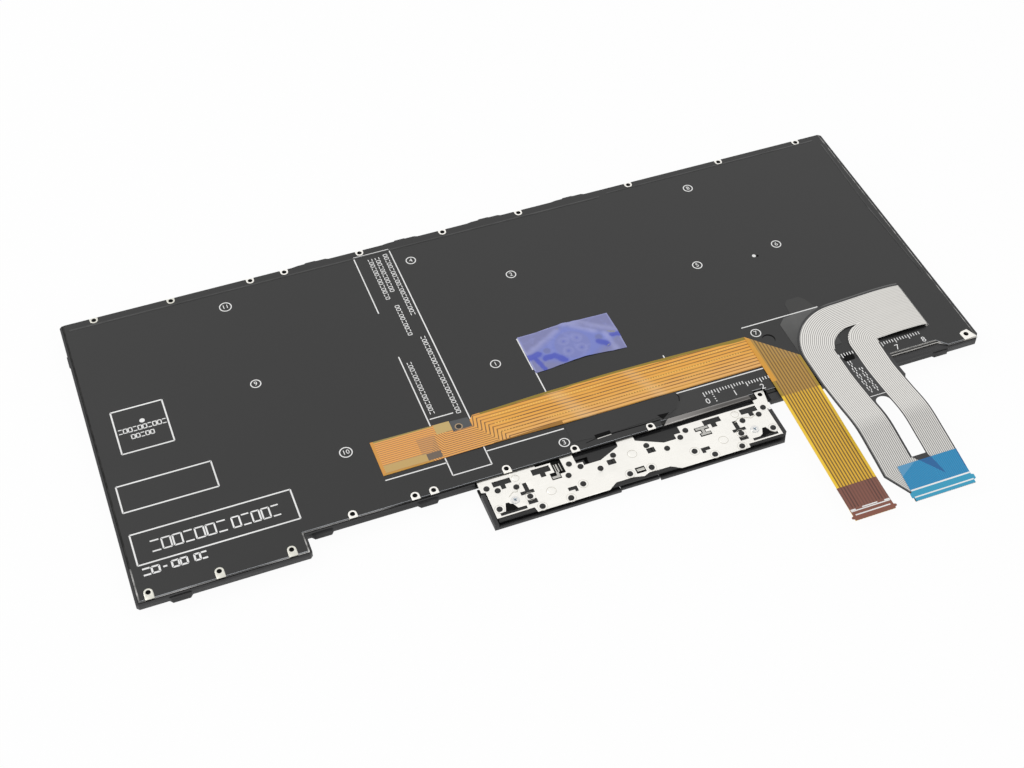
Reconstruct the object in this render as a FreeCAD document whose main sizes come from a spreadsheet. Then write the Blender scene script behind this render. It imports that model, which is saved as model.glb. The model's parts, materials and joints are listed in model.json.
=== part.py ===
import FreeCAD, Part
import math
import os
import Sketcher

# A laptop replacement keyboard that lies on its key tops, with its underside up.
# X runs along the keyboard, Y away from the button module, and Z up through the underside.
# Sizes are in millimetres. Places on the plate are measured from the zero of the scale printed on its film.

doc = FreeCAD.newDocument("keyboard")
sheet = doc.addObject("Spreadsheet::Sheet", "sizes")
V = FreeCAD.Vector

SIZES = [
    ("plate_length", 283.4, "base plate along X"),
    ("plate_depth", 109.7, "base plate along Y, without the arrow key extension"),
    ("edge_right", 97.0, "right edge of the plate from the scale's zero"),
    ("edge_far", 102.3, "far edge of the plate from the scale's zero"),
    ("arrow_length", 51.1, "arrow key extension along X"),
    ("arrow_drop", 7.2, "arrow key extension beyond the near edge"),
    ("strip_start", -17.6, "where the bare near strip of the plate starts"),
    ("strip_end", 83.0, "where the bare near strip ends"),
    ("strip_rise", 1.0, "how far the plate's edge steps back at that strip"),
    ("strip_width", 1.4, "bare width of that strip"),
    ("corner_start", 86.0, "where the near right corner piece starts"),
    ("corner_drop", 1.2, "how far that corner passes the near edge"),
    ("dome_sheet", 0.1, "thickness of the film that carries the domes"),
    ("membrane", 0.2, "thickness of the switch membrane"),
    ("plate", 0.4, "thickness of the base plate"),
    ("light_guide", 0.3, "thickness of the light guide"),
    ("film", 0.1, "thickness of the backing film"),
    ("sheet_inset", 1.6, "plate edge to the membrane's edge"),
    ("film_inset", 0.45, "plate edge to the film's edge"),
    ("tab_hole", 0.8, "radius of the plate's screw holes"),
    ("tab_round", 1.45, "radius of the film windows over the screw holes"),
    ("near_tab", 1.5, "screw holes from the near edge"),
    ("arrow_tab", 2.5, "screw holes from the arrow extension's edge"),
    ("far_tab", 1.0, "screw holes from the far edge"),
    ("key_columns", 14.8766, "key pitches along the plate"),
    ("key_rows", 5.75853, "key pitches along the plate's depth"),
    ("function_share", 0.67717, "depth of the function row in key pitches"),
    ("arrow_columns", 3.00588, "arrow key pitches along the arrow key extension"),
    ("near_margin", 0.9, "plate edge to the nearest key cell"),
    ("column_overhang", 0.5, "how far the outer key cells pass the plate's sides"),
    ("cap_gap", 3.05, "gap between two caps"),
    ("cap_height", 2.2, "cap height"),
    ("cap_top", 0.9, "top wall of a cap"),
    ("cap_wall", 1.0, "side wall of a cap"),
    ("cap_draft", 7, "draft of a cap's sides in degrees"),
    ("cap_corner", 1.0, "how far the corners on the user's side of a cap are cut"),
    ("key_travel", 1.8, "travel of a key"),
    ("press_clearance", 0.2, "space left under a pressed cap"),
    ("dome_foot", 2.2, "half the width of a rubber dome at the sheet"),
    ("dome_lean", 16, "lean of a dome's sides in degrees"),
    ("link_bar", 0.8, "width of a scissor link's bars"),
    ("link_thickness", 0.6, "thickness of a scissor link"),
    ("wire", 0.6, "thickness of the wires that keep wide keys level"),
    ("bezel_face", 1.9, "height of the bezel's face over the key tops"),
    ("lattice", 1.2, "thickness of the bars between the keys"),
    ("bezel_gap", 0.15, "clearance between plate and bezel"),
    ("bezel_side", 0.95, "how far the bezel passes the plate's sides"),
    ("bezel_near", 0.7, "how far the bezel passes the plate's near edge"),
    ("bezel_far", 0.45, "how far the bezel passes the plate's far edge"),
    ("bezel_chamfer", 0.6, "chamfer round the bezel's face"),
    ("bezel_corner", 0.8, "how far the bezel's corners are cut"),
    ("bezel_rise", 0.25, "how far the bezel's wall stands over the plate's lower face"),
    ("ledge", 0.6, "ledge of the bezel that the plate lies on"),
    ("opening_gap", 0.35, "clearance between cap and bezel"),
    ("lug_length", 3.6, "length of a bezel lug"),
    ("lug_rise", 0.5, "how far a far or side lug stands off the bezel"),
    ("near_lug", 1.0, "how far a near lug stands off the bezel"),
    ("stick_row", 3.3, "stick over the line between the two lower letter rows"),
    ("stick_room", 5.2, "radius that the keys keep round the stick"),
    ("stick_opening", 4.6, "radius of the bezel's opening for the stick"),
    ("stick_radius", 4.0, "radius of the stick cap"),
    ("stick_drop", 0.15, "how far the stick cap stays under the key tops"),
    ("stick_height", 3.0, "height of the stick cap"),
    ("stick_wall", 1.4, "height of the stick cap over its post"),
    ("post_side", 2.0, "side of the square post under the stick cap"),
    ("post_fit", 0.05, "clearance of that post in the cap"),
    ("post_hole", 2.4, "radius of the holes that the post passes"),
    ("sensor_rise", 0.25, "how far the sensor stands over the film"),
    ("sensor_film", 0.08, "thickness of the film over the sensor"),
    ("flex", 0.15, "thickness of the orange flex"),
    ("flex_width", 13.8, "width of the orange flex"),
    ("flex_near", 4.4, "near edge of the flex on the plate"),
    ("flex_start", -106.3, "left end of the orange flex"),
    ("fold_start", 23.6, "where the flex folds down"),
    ("tape", 0.05, "thickness of the tapes"),
    ("tail", 0.18, "thickness of the silver tail"),
    ("tail_slot", 83.3, "slot in the plate that the tail comes out of"),
    ("slot_width", 1.4, "width of that slot"),
    ("tail_near", 1.7, "near edge of the tail at the slot"),
    ("tail_width", 19.8, "width of the tail at the slot"),
    ("tail_left", 38.0, "outer edge of the tail after its bend"),
    ("tail_bend", 20.0, "outer radius of that bend"),
    ("strand_left", 10.9, "width of the tail's left strand"),
    ("strand_gap", 6.1, "gap between the strands"),
    ("strand_right", 9.4, "width of the tail's right strand"),
    ("bulge", 1.1, "how far the tail stands off the film by its slot"),
    ("tail_end", 60.4, "near end of both tails"),
    ("droop_start", 9.0, "where the tails start to leave the film's level"),
    ("droop", 2.4, "how far the tails' ends sink"),
    ("arch", 2.3, "how high the silver tail arches before it sinks"),
    ("arch_place", 31.0, "where that arch is highest"),
    ("stiffener", 0.2, "thickness of the stiffeners"),
    ("stiffener_length", 12.4, "length of the stiffeners"),
    ("ear", 0.8, "how far the stiffeners' ears stand out at each side"),
    ("ear_start", 1.0, "near end of the ears, from the tail's end"),
    ("ear_end", 3.0, "far end of the ears, from the tail's end"),
    ("module_left", -80.6, "left end of the button module"),
    ("module_length", 99.1, "button module along X"),
    ("module_near", -24.4, "near edge of the button module"),
    ("module_plate", 0.3, "thickness of the stamped plate"),
    ("module_frame", 0.6, "thickness of the button frame"),
    ("post_radius", 0.8, "radius of the heat-staked posts"),
    ("post_head", 0.35, "how far the posts stand over the stamped plate"),
    ("stake_fit", 0.04, "clearance of the posts in the stamped plate"),
    ("screw_head", 1.35, "radius of the module's screws"),
    ("screw_shank", 0.65, "radius of the screws' shanks"),
    ("screw_fit", 0.05, "clearance round the shanks"),
    ("screw_rise", 0.35, "height of the screw heads"),
    ("button_depth", 16.0, "depth of the buttons"),
    ("button_face", 1.6, "height of the buttons' faces over the key tops"),
    ("button_wall", 0.6, "top wall of a button"),
    ("button_skirt", 0.55, "height of a button's near skirt"),
    ("button_end", 1.25, "thickness of the outer buttons' end walls"),
    ("button_end_top", 4.3, "height of those end walls over the key tops"),
    ("middle_start", 41.85, "middle button from the module's left end"),
    ("middle_length", 12.8, "length of the middle button"),
    ("middle_step", 0.6, "how far the middle button steps back"),
    ("button_gap", 0.3, "gap between two buttons"),
    ("hinge_line", 15.2, "buttons' hinge from the module's near edge"),
    ("hinge_height", 0.85, "hinge over the buttons' top wall"),
    ("pin_radius", 0.35, "radius of the hinge pins"),
    ("pin_fit", 0.05, "clearance of the hinge pins"),
    ("lug_width", 1.2, "width of a hinge lug and of its bracket"),
    ("lug_gap", 0.15, "gap between hinge lug and bracket"),
    ("bracket_floor", 0.1, "space between a bracket and the button"),
    ("snap_dome", 2.0, "radius of a button's snap dome"),
    ("snap_height", 0.35, "height of a snap dome"),
    ("circuit", 0.15, "thickness of the button circuit"),
]
for row, (alias, number, words) in enumerate(SIZES, 1):
    sheet.set(f"A{row}", words)
    sheet.set(f"B{row}", str(number))
    sheet.setAlias(f"B{row}", alias)
doc.recompute()


class Size:
    """A length, held as its value and as the expression that gives it."""

    def __init__(self, value, text):
        self.value = value
        self.text = text

    def joined(self, other, sign, value):
        return Size(value, f"({self.text} {sign} {as_size(other).text})")

    def __add__(self, other):
        return self.joined(other, "+", self.value + as_size(other).value)

    def __sub__(self, other):
        return self.joined(other, "-", self.value - as_size(other).value)

    def __mul__(self, other):
        return self.joined(other, "*", self.value * as_size(other).value)

    def __truediv__(self, other):
        return self.joined(other, "/", self.value / as_size(other).value)

    def __neg__(self):
        return Size(-self.value, f"(0 - {self.text})")


def as_size(number):
    return number if isinstance(number, Size) else Size(float(number), f"({float(number)!r})")


class Sheet:
    """The driving sizes, read from the spreadsheet by their aliases."""

    def __getattr__(self, alias):
        return Size(float(sheet.get(alias)), f"sizes.{alias}")


S = Sheet()
ZERO = as_size(0)


# Small helpers for sketches, bodies and primitives

def bind(thing, setting, size):
    thing.setExpression(setting, as_size(size).text)


def place(thing, x=ZERO, y=ZERO, z=ZERO):
    for axis, size in zip("xyz", (x, y, z)):
        bind(thing, f"Placement.Base.{axis}", size)
    return thing


def new_body(name):
    body = doc.addObject("PartDesign::Body", name)
    body.Label = name
    return body


def new_sketch(body, name, height=ZERO, role="XY_Plane"):
    """A sketch on one of the body's own planes, lifted by height."""
    sketch = body.newObject("Sketcher::SketchObject", f"{body.Name}_{name}")
    plane = next(f for f in body.Origin.OriginFeatures if f.Role == role)
    sketch.AttachmentSupport = [(plane, "")]
    sketch.MapMode = "FlatFace"
    bind(sketch, "AttachmentOffset.Base.z", height)
    return sketch


def pin_point(sketch, edge, end, x, y):
    """Hold a point of the sketch at x, y from its origin."""
    for kind, size in (("DistanceX", x), ("DistanceY", y)):
        number = sketch.addConstraint(Sketcher.Constraint(kind, -1, 1, edge, end, size.value))
        bind(sketch, f"Constraints[{number}]", size)


def outline(sketch, corners):
    """A closed polygon with each corner held in place."""
    corners = [(as_size(x), as_size(y)) for x, y in corners]
    first = sketch.GeometryCount
    count = len(corners)
    for n, (x, y) in enumerate(corners):
        to_x, to_y = corners[(n + 1) % count]
        sketch.addGeometry(Part.LineSegment(V(x.value, y.value, 0), V(to_x.value, to_y.value, 0)))
    for n, (x, y) in enumerate(corners):
        following = first + (n + 1) % count
        sketch.addConstraint(Sketcher.Constraint("Coincident", first + n, 2, following, 1))
        pin_point(sketch, first + n, 1, x, y)
    return sketch


def rectangle(sketch, x, y, to_x, to_y):
    return outline(sketch, [(x, y), (to_x, y), (to_x, to_y), (x, to_y)])


def centred(sketch, length, depth):
    return rectangle(sketch, -length / 2, -depth / 2, length / 2, depth / 2)


def circle(sketch, x, y, radius):
    edge = sketch.addGeometry(Part.Circle(V(x.value, y.value, 0), V(0, 0, 1), radius.value))
    pin_point(sketch, edge, 3, x, y)
    number = sketch.addConstraint(Sketcher.Constraint("Radius", edge, radius.value))
    bind(sketch, f"Constraints[{number}]", radius)
    return sketch


def pad(body, sketch, length, draft=None):
    """Grow a sketch along its normal; a positive draft widens it."""
    feature = body.newObject("PartDesign::Pad", f"{sketch.Name}_pad")
    feature.Profile = sketch
    bind(feature, "Length", length)
    if draft:
        bind(feature, "TaperAngle", draft)
    doc.recompute()
    return feature


def pocket(body, sketch, depth=None):
    """A cut against the sketch's normal, or right through both ways."""
    before = body.Shape.Volume
    feature = body.newObject("PartDesign::Pocket", f"{sketch.Name}_pocket")
    feature.Profile = sketch
    if depth:
        bind(feature, "Length", depth)
    else:
        feature.Type = "ThroughAll"
        feature.Midplane = True
    doc.recompute()
    if body.Shape.Volume >= before:
        raise RuntimeError(f"{feature.Name} cuts nothing")
    return feature


def prism(name, corners, thickness, level=ZERO):
    """A flat piece with straight edges."""
    body = new_body(name)
    pad(body, outline(new_sketch(body, "outline"), corners), thickness)
    return place(body, z=level)


def side_strip(name, points, thickness, role, start, width):
    """A thin strip along a line of points in a side view, made width wide from start."""
    body = new_body(name)
    lower = [(along, up) for along, up in points]
    upper = [(along, up + thickness) for along, up in reversed(points)]
    pad(body, outline(new_sketch(body, "profile", start, role), lower + upper), width)
    return body


def box(name, x, y, z, length, width, height):
    thing = doc.addObject("Part::Box", name)
    for setting, size in (("Length", length), ("Width", width), ("Height", height)):
        bind(thing, setting, size)
    return place(thing, x, y, z)


def between(name, x, to_x, y, to_y, z, to_z):
    """A box from its two opposite corners."""
    x, to_x, y, to_y, z, to_z = [as_size(size) for size in (x, to_x, y, to_y, z, to_z)]
    return box(name, x, y, z, to_x - x, to_y - y, to_z - z)


def cylinder(name, x, y, z, radius, height):
    thing = doc.addObject("Part::Cylinder", name)
    bind(thing, "Radius", radius)
    bind(thing, "Height", height)
    return place(thing, x, y, z)


def faceted(name, sides, x, y, z, radius, height):
    """A prism in place of a small round, where the round repeats or stays out of sight."""
    thing = doc.addObject("Part::Prism", name)
    thing.Polygon = sides
    bind(thing, "Circumradius", radius)
    bind(thing, "Height", height)
    return place(thing, x, y, z)


def rod(name, x, y, z, radius, length):
    """A cylinder along X."""
    thing = cylinder(name, x, y, z, radius, length)
    thing.Placement.Rotation = FreeCAD.Rotation(V(0, 1, 0), 90)
    return thing


def cut(name, base, tools):
    """The base less each tool."""
    for number, tool in enumerate(tools):
        thing = doc.addObject("Part::Cut", f"{name}_{number}")
        thing.Base = base
        thing.Tool = tool
        base = thing
    base.Label = name
    return base


def fuse(name, things):
    thing = doc.addObject("Part::MultiFuse", name)
    thing.Shapes = things
    thing.Label = name
    return thing


def compound(name, things):
    thing = doc.addObject("Part::Compound", name)
    thing.Links = things
    thing.Label = name
    return thing


def common(name, base, tool):
    thing = doc.addObject("Part::Common", name)
    thing.Base = base
    thing.Tool = tool
    return thing


def copies(name, prototype, places):
    """The prototype's shape at each of the places, as separate solids of one piece."""
    doc.recompute()
    thing = doc.addObject("Part::Feature", name)
    solids = []
    for x, y in places:
        solid = prototype.Shape.copy()
        solid.translate(V(x.value, y.value, 0))
        solids.append(solid)
    thing.Shape = Part.makeCompound(solids)
    thing.Label = name
    return thing


# Places that the pieces share

edge_left = S.edge_right - S.plate_length
edge_near = S.edge_far - S.plate_depth
arrow_edge = edge_near - S.arrow_drop
arrow_right = edge_left + S.arrow_length
strip_edge = edge_near + S.strip_rise
corner_edge = edge_near - S.corner_drop
key_pitch = S.plate_length / S.key_columns
row_pitch = S.plate_depth / S.key_rows
function_pitch = row_pitch * S.function_share
arrow_pitch = S.arrow_length / S.arrow_columns

dome_level = S.cap_height + S.key_travel + S.press_clearance
membrane_level = dome_level + S.dome_sheet
plate_level = membrane_level + S.membrane
guide_level = plate_level + S.plate
film_level = guide_level + S.light_guide
film_top = film_level + S.film
tall = film_top * 2

module_right = S.module_left + S.module_length
module_top = plate_level
module_level = module_top - S.module_plate
frame_level = module_level - S.module_frame

# The origin lies under the middle of the whole keyboard, tails included
far_reach = S.edge_far + S.bezel_far + S.lug_rise
shift_x = -(edge_left + S.edge_right) / 2
shift_y = -(far_reach - S.tail_end) / 2

nodes = []


def keep(thing, x=ZERO, y=ZERO, z=ZERO):
    """Put a finished piece in the keyboard's frame and keep it for writing."""
    place(thing, shift_x + x, shift_y + y, z)
    nodes.append(thing)
    return thing


def plate_outline(inset, far_inset, near_strip, near_corner):
    """The outline that plate, light guide and film share, from the arrow extension on."""
    left = edge_left + inset
    right = S.edge_right - inset
    return [
        (left, arrow_edge + inset),
        (arrow_right - inset, arrow_edge + inset),
        (arrow_right - inset, edge_near + inset),
        (S.strip_start, edge_near + inset),
        (S.strip_start, near_strip),
        (S.strip_end, near_strip),
        (S.corner_start, near_corner),
        (right, near_corner),
        (right, S.edge_far - far_inset),
        (left, S.edge_far - far_inset),
    ]


def level_outline(inset):
    """That outline, drawn in by the same inset on every side."""
    return plate_outline(inset, inset, strip_edge + inset, corner_edge + inset)


# The key field. Cells run from the keyboard's own left, which is +X here, and from its near row.

field_start = S.edge_right + S.column_overhang
field_end = edge_left - S.column_overhang
field_near = edge_near + S.near_margin
arrow_near = arrow_edge + S.near_margin
arrow_half = (field_near + row_pitch - arrow_near) / 2
arrow_block = field_end + arrow_pitch * 3
stick_x = field_start - key_pitch * 6.75
stick_y = field_near + row_pitch * 2 + S.stick_row

# Each row from the near side: its keys in order, with their widths in pitches.
# The last key of a row takes what is left up to the end of the field.
LETTER_ROWS = [
    [("fn", 1), ("control_left", 1.25), ("system", 1), ("alt_left", 1), ("space", 5), ("alt_right", 1),
     ("print", 1), ("control_right", None)],
    [("shift_left", 2.25)] + [(name, 1) for name in "zxcvbnm"] + [("comma", 1), ("dot", 1), ("slash", 1),
     ("shift_right", None)],
    [("caps", 1.75)] + [(name, 1) for name in "asdfghjkl"] + [("semicolon", 1), ("quote", 1), ("enter", None)],
    [("tab", 1.5)] + [(name, 1) for name in "qwertyuiop"] + [("bracket", 1), ("brace", 1), ("bar", None)],
    [("grave", 1)] + [(f"digit_{n}", 1) for n in range(10)] + [("minus", 1), ("equals", 1),
     ("backspace", None)],
]
FUNCTION_ROW = ["escape"] + [f"function_{n}" for n in range(1, 13)] + ["home", "end", "insert", "delete"]
ARROW_ROWS = [["right", "down", "left"], ["page_down", "up", "page_up"]]
# Keys with a cap of their own that moves. The others are fused to the dome sheet that carries them.
MOVING = {
    "fn", "control_left", "system", "alt_left", "space", "alt_right", "print", "control_right",
    "shift_left", "b", "shift_right", "caps", "a", "s", "d", "g", "h", "enter", "tab", "w", "bar", "backspace",
    "escape", "home", "end", "insert", "delete", "right", "down", "left", "page_down", "up", "page_up",
}
function_length = (field_start - field_end) / len(FUNCTION_ROW)


def key_cells():
    """Every key as name, middle x, middle y, cell length and cell depth."""
    found = []
    for line, keys in enumerate(LETTER_ROWS):
        start = field_start
        last = field_end if line else arrow_block
        for name, pitches in keys:
            end = start - key_pitch * pitches if pitches else last
            middle = field_near + row_pitch * (line + 0.5)
            found.append((name, (start + end) / 2, middle, start - end, row_pitch))
            start = end
    middle = field_near + row_pitch * len(LETTER_ROWS) + function_pitch / 2
    for number, name in enumerate(FUNCTION_ROW):
        found.append((name, field_start - function_length * (number + 0.5), middle, function_length,
                      function_pitch))
    for line, names in enumerate(ARROW_ROWS):
        for number, name in enumerate(names):
            x, y = field_end + arrow_pitch * (2.5 - number), arrow_near + arrow_half * (line + 0.5)
            found.append((name, x, y, arrow_pitch, arrow_half))
    return found


CELLS = key_cells()


def draft_sides(body, block, narrow):
    """Lean a straight block's sides in towards its low end by an angle, with flat faces."""
    levels = [vertex.Point.z for vertex in block.Shape.Vertexes]
    sides, wide_end = [], None
    for number, face in enumerate(block.Shape.Faces, 1):
        heights = [vertex.Point.z for vertex in face.Vertexes]
        if max(heights) - min(heights) > 0.01:
            sides.append(f"Face{number}")
        elif max(heights) > (min(levels) + max(levels)) / 2:
            wide_end = f"Face{number}"
    feature = body.newObject("PartDesign::Draft", f"{block.Name}_draft")
    feature.Base = (block, sides)
    feature.NeutralPlane = (block, [wide_end])
    feature.Reversed = True
    bind(feature, "Angle", narrow)
    doc.recompute()
    return feature


def keycap(name, length, depth, hollow=True):
    """A cap about its own middle, its top at height zero and its skirt above it."""
    body = new_body(name)
    x, y = length / 2, depth / 2
    half = [(x, y), (x, -y + S.cap_corner), (x - S.cap_corner, -y)]
    corners = half + [(-to_x, to_y) for to_x, to_y in reversed(half)]
    block = pad(body, outline(new_sketch(body, "outline"), corners), S.cap_height)
    draft_sides(body, block, S.cap_draft)
    if hollow:
        room = centred(new_sketch(body, "room", S.cap_height), length - S.cap_wall * 2, depth - S.cap_wall * 2)
        pocket(body, room, S.cap_height - S.cap_top)
    return body


standard = keycap("standard_cap", key_pitch - S.cap_gap, row_pitch - S.cap_gap, False)
function_cap = keycap("function_cap", function_length - S.cap_gap, function_pitch - S.cap_gap, False)
fused_places = {"standard_cap": [], "function_cap": []}
moving_cells = []
for name, x, y, length, depth in CELLS:
    if name not in MOVING:
        fused_places["function_cap" if name.startswith("function") else "standard_cap"].append((x, y))
        continue
    cap = keycap(f"key_{name}", length - S.cap_gap, depth - S.cap_gap)
    if name in ("g", "h", "b"):
        pocket(cap, circle(new_sketch(cap, "stick"), stick_x - x, stick_y - y, S.stick_room))
    keep(cap, x, y)
    moving_cells.append((name, x, y, length))
moving_places = [(x, y) for _, x, y, _ in moving_cells]


# Domes, the sheet that carries them, and the caps that are fused to it

module_notch_left = module_right - 3.1
module_notch_right = module_right + 1.4
module_notch_top = S.module_near + 20.6


def notch(name):
    """Room for the tab of the button module in the sheets above it."""
    return between(name, module_notch_left, module_notch_right, strip_edge - 5, module_notch_top, ZERO, tall)


def post_opening(name):
    return faceted(name, 8, stick_x, stick_y, ZERO, S.post_hole, tall)


def dome_body(name):
    """A four-sided rubber dome that widens from its cap to the sheet."""
    body = new_body(name)
    height = dome_level - S.cap_top
    block = pad(body, centred(new_sketch(body, "foot", S.cap_top), S.dome_foot * 2, S.dome_foot * 2), height)
    draft_sides(body, block, S.dome_lean)
    return body


dome = dome_body("dome")
carrier_blank = prism("dome_carrier_blank", level_outline(S.sheet_inset), S.dome_sheet, dome_level)
carrier = cut("dome_carrier", carrier_blank, [post_opening("carrier_hole"), notch("carrier_notch")])
bank = [carrier]
for prototype in (standard, function_cap):
    bank.append(copies(f"{prototype.Name}s", prototype, fused_places[prototype.Name]))
    bank.append(copies(f"{prototype.Name}_domes", dome, fused_places[prototype.Name]))
keep(fuse("key_bank", bank))
keep(copies("rubber_domes", dome, moving_places))


# Scissor links: an outer and an inner frame that cross at their middle

link_length = function_pitch - S.cap_gap - S.cap_wall * 2 - 0.9
link_room = dome_level - S.cap_top - 0.2
link_tilt = math.degrees(math.asin((link_room.value - S.link_thickness.value) / link_length.value))


def link(name, width, angle):
    """A flat frame tilted about X through its middle."""
    plate = between(f"{name}_plate", -width / 2, width / 2, -link_length / 2, link_length / 2,
                    -S.link_thickness / 2, S.link_thickness / 2)
    half_x, half_y = width / 2 - S.link_bar, link_length / 2 - S.link_bar
    hole = between(f"{name}_hole", -half_x, half_x, -half_y, half_y, -S.link_thickness, S.link_thickness)
    thing = cut(name, plate, [hole])
    thing.Placement = FreeCAD.Placement(V(0, 0, 0), FreeCAD.Rotation(V(1, 0, 0), angle))
    return thing


inner_width = S.dome_foot * 2 + 1.4 + S.link_bar * 2
pair = compound("link_pair", [link("outer_link", inner_width + S.link_bar * 2 + 0.4, link_tilt),
                              link("inner_link", inner_width, -link_tilt)])
place(pair, z=(dome_level + S.cap_top) / 2)
keep(copies("scissor_links", pair, moving_places))

# Wires that keep the wide keys level: a bar under the cap with its ends turned to the sheet
wires = []
for name, x, y, length in moving_cells:
    if length.value > key_pitch.value * 2:
        reach = length / 2 - S.cap_gap - S.cap_wall
        side = y + row_pitch / 2 - S.cap_gap - S.cap_wall - S.wire
        bar = between(f"wire_{name}", x - reach, x + reach, side, side + S.wire, S.cap_top + 0.1,
                      S.cap_top + 0.1 + S.wire)
        ends = []
        for way in (-1, 1):
            end = x + reach * way
            ends.append(between(f"wire_{name}_{way}", end - S.wire / 2, end + S.wire / 2, side, side + S.wire,
                                S.cap_top + 0.1, dome_level))
        wires.append(fuse(f"wire_{name}_bent", [bar] + ends))
keep(compound("stabiliser_wires", wires))


# Base plate, light guide and backing film

# Where the screw holes are, as shares of the plate's length, and along the arrow extension in millimetres
NEAR_TABS = [0.2361, 0.3059, 0.3271, 0.4107, 0.4912, 0.5826]
FAR_TABS = [0.0367, 0.1284, 0.2255, 0.2678, 0.3631, 0.4707, 0.5720, 0.7230, 0.8511, 0.9637]
ARROW_TABS = [3.4, 24.4, 46.2]

TABS = [(edge_left + x, arrow_edge + S.arrow_tab, -1) for x in ARROW_TABS]
TABS += [(edge_left + S.plate_length * share, edge_near + S.near_tab, -1) for share in NEAR_TABS]
TABS += [(edge_left + S.plate_length * share, S.edge_far - S.far_tab, 1) for share in FAR_TABS]
TABS.append((S.edge_right - 3.1, corner_edge + 2.3, -1))


def tail_opening(name):
    """The slot that the tail comes up through."""
    return between(name, S.tail_slot - 0.2, S.tail_slot - 0.2 + S.slot_width, S.tail_near - 0.3,
                   S.tail_near + S.tail_width + 0.3, ZERO, tall)


def sensor_opening(name):
    """The window round the stick sensor."""
    return between(name, stick_x - 15.4, stick_x + 16.1, stick_y - 5.4, stick_y + 9.2, ZERO, tall)


def tab_windows(name, round_ends):
    """Windows over the screw holes, open to the edge, with or without round ends."""
    tools = []
    for number, (x, y, way) in enumerate(TABS):
        start, end = (y, y + S.arrow_drop) if way > 0 else (y - S.arrow_drop, y)
        if round_ends:
            tools.append(faceted(f"{name}_round_{number}", 12, x, y, ZERO, S.tab_round, tall))
        else:
            start, end = (start - S.tab_round, end) if way > 0 else (start, end + S.tab_round)
        tools.append(between(f"{name}_mouth_{number}", x - S.tab_round, x + S.tab_round, start, end, ZERO,
                             tall))
    return fuse(f"{name}_windows", tools)


holes = []
for number, (x, y, _) in enumerate(TABS):
    if number < len(ARROW_TABS):
        holes.append(cylinder(f"tab_hole_{number}", x, y, ZERO, S.tab_hole, tall))
    else:
        holes.append(faceted(f"tab_hole_{number}", 8, x, y, ZERO, S.tab_hole, tall))
keep(cut("base_plate", prism("plate_blank", level_outline(ZERO), S.plate, plate_level),
         [compound("tab_holes", holes), post_opening("plate_hole"), tail_opening("plate_slot"),
          notch("plate_notch")]))

film_outline = plate_outline(S.film_inset, ZERO, strip_edge + S.strip_width, corner_edge + S.film_inset)
for name, level, thickness in (
        ("light_guide", guide_level, S.light_guide),
        ("backing_film", film_level, S.film)):
    keep(cut(name, prism(f"{name}_blank", film_outline, thickness, level),
             [tab_windows(name, name == "backing_film"), tail_opening(f"{name}_slot"),
              sensor_opening(f"{name}_sensor"), notch(f"{name}_notch")]))


# Membrane circuit: the sheet under the plate and the tail that comes up through the slot

tail_low = film_top + S.tape
tail_top = S.tail_near + S.tail_width
tail_right = S.tail_left + S.strand_left + S.strand_gap + S.strand_right
slope = S.droop / (S.tail_end - S.droop_start)


def sunk(level, reach):
    """Height of the straight flex that lies at level on the film, at a place beyond the near edge."""
    return level - slope * (reach - S.droop_start)


membrane_sheet = cut("membrane_sheet", prism("membrane_blank", level_outline(S.sheet_inset), S.membrane,
                                             membrane_level),
                     [post_opening("membrane_hole"), notch("membrane_notch")])
slot_height = tail_low + S.bulge * 0.7
riser = between("tail_riser", S.tail_slot, S.tail_slot + S.tail, S.tail_near, tail_top, membrane_level,
                slot_height + S.tail * 0.6)
across_start = S.tail_left + S.tail_bend + 5
across = side_strip("tail_across", [
    (across_start, tail_low),
    (across_start + 3, tail_low),
    (across_start + 10, tail_low + S.bulge),
    (S.tail_slot - 3, tail_low + S.bulge),
    (S.tail_slot + S.tail, slot_height),
], S.tail, "XZ_Plane", -tail_top, S.tail_width)
stiffener_start = S.tail_end - S.stiffener_length
end_line = [(-S.tail_end, tail_low - S.droop), (-stiffener_start, tail_low - S.droop * 0.08)]
along = side_strip("tail_along", end_line + [
    (-S.arch_place - 10, tail_low + S.arch * 0.43),
    (-S.arch_place, tail_low + S.arch),
    (-S.arch_place + 11, tail_low + S.arch * 0.46),
    (-S.droop_start, tail_low),
    (tail_top, tail_low),
], S.tail, "YZ_Plane", S.tail_left, tail_right - S.tail_left)

bend_middle = tail_top - S.tail_bend
bend_square = between("bend_square", S.tail_left - 1, S.tail_left + S.tail_bend, bend_middle, tail_top + 1,
                      ZERO, tall)
bend_corner = cut("bend_corner", bend_square,
                  [cylinder("bend_disc", S.tail_left + S.tail_bend, bend_middle, ZERO, S.tail_bend, tall)])
gap_left = S.tail_left + S.strand_left
gap_right = gap_left + S.strand_gap
crescent_bend = S.strand_gap + 4.5
strand_bend = S.strand_gap + 1.9
crescent = cut("tail_crescent", cylinder("crescent_disc", gap_left + crescent_bend, S.tail_near - 2.2, ZERO,
                                         crescent_bend, tall), [
    cylinder("strand_disc", gap_right + strand_bend, S.tail_near + 0.3, ZERO, strand_bend, tall),
    between("strand_side", gap_right, gap_right + 30, S.tail_near - 30, S.tail_near + 0.3, ZERO, tall),
    between("crescent_near", gap_left - 5, gap_right + 30, S.tail_near - 30, S.tail_near - 5.2, ZERO, tall),
    between("crescent_side", gap_right + strand_bend, gap_right + 30, S.tail_near - 30, tail_top, ZERO, tall),
])
slot_left, slot_right = gap_left + 0.7, gap_right - 0.4
slot_bend = (slot_right - slot_left) / 2
slot_far, slot_near = S.tail_near - 23.2, -S.tail_end + 14.2
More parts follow.
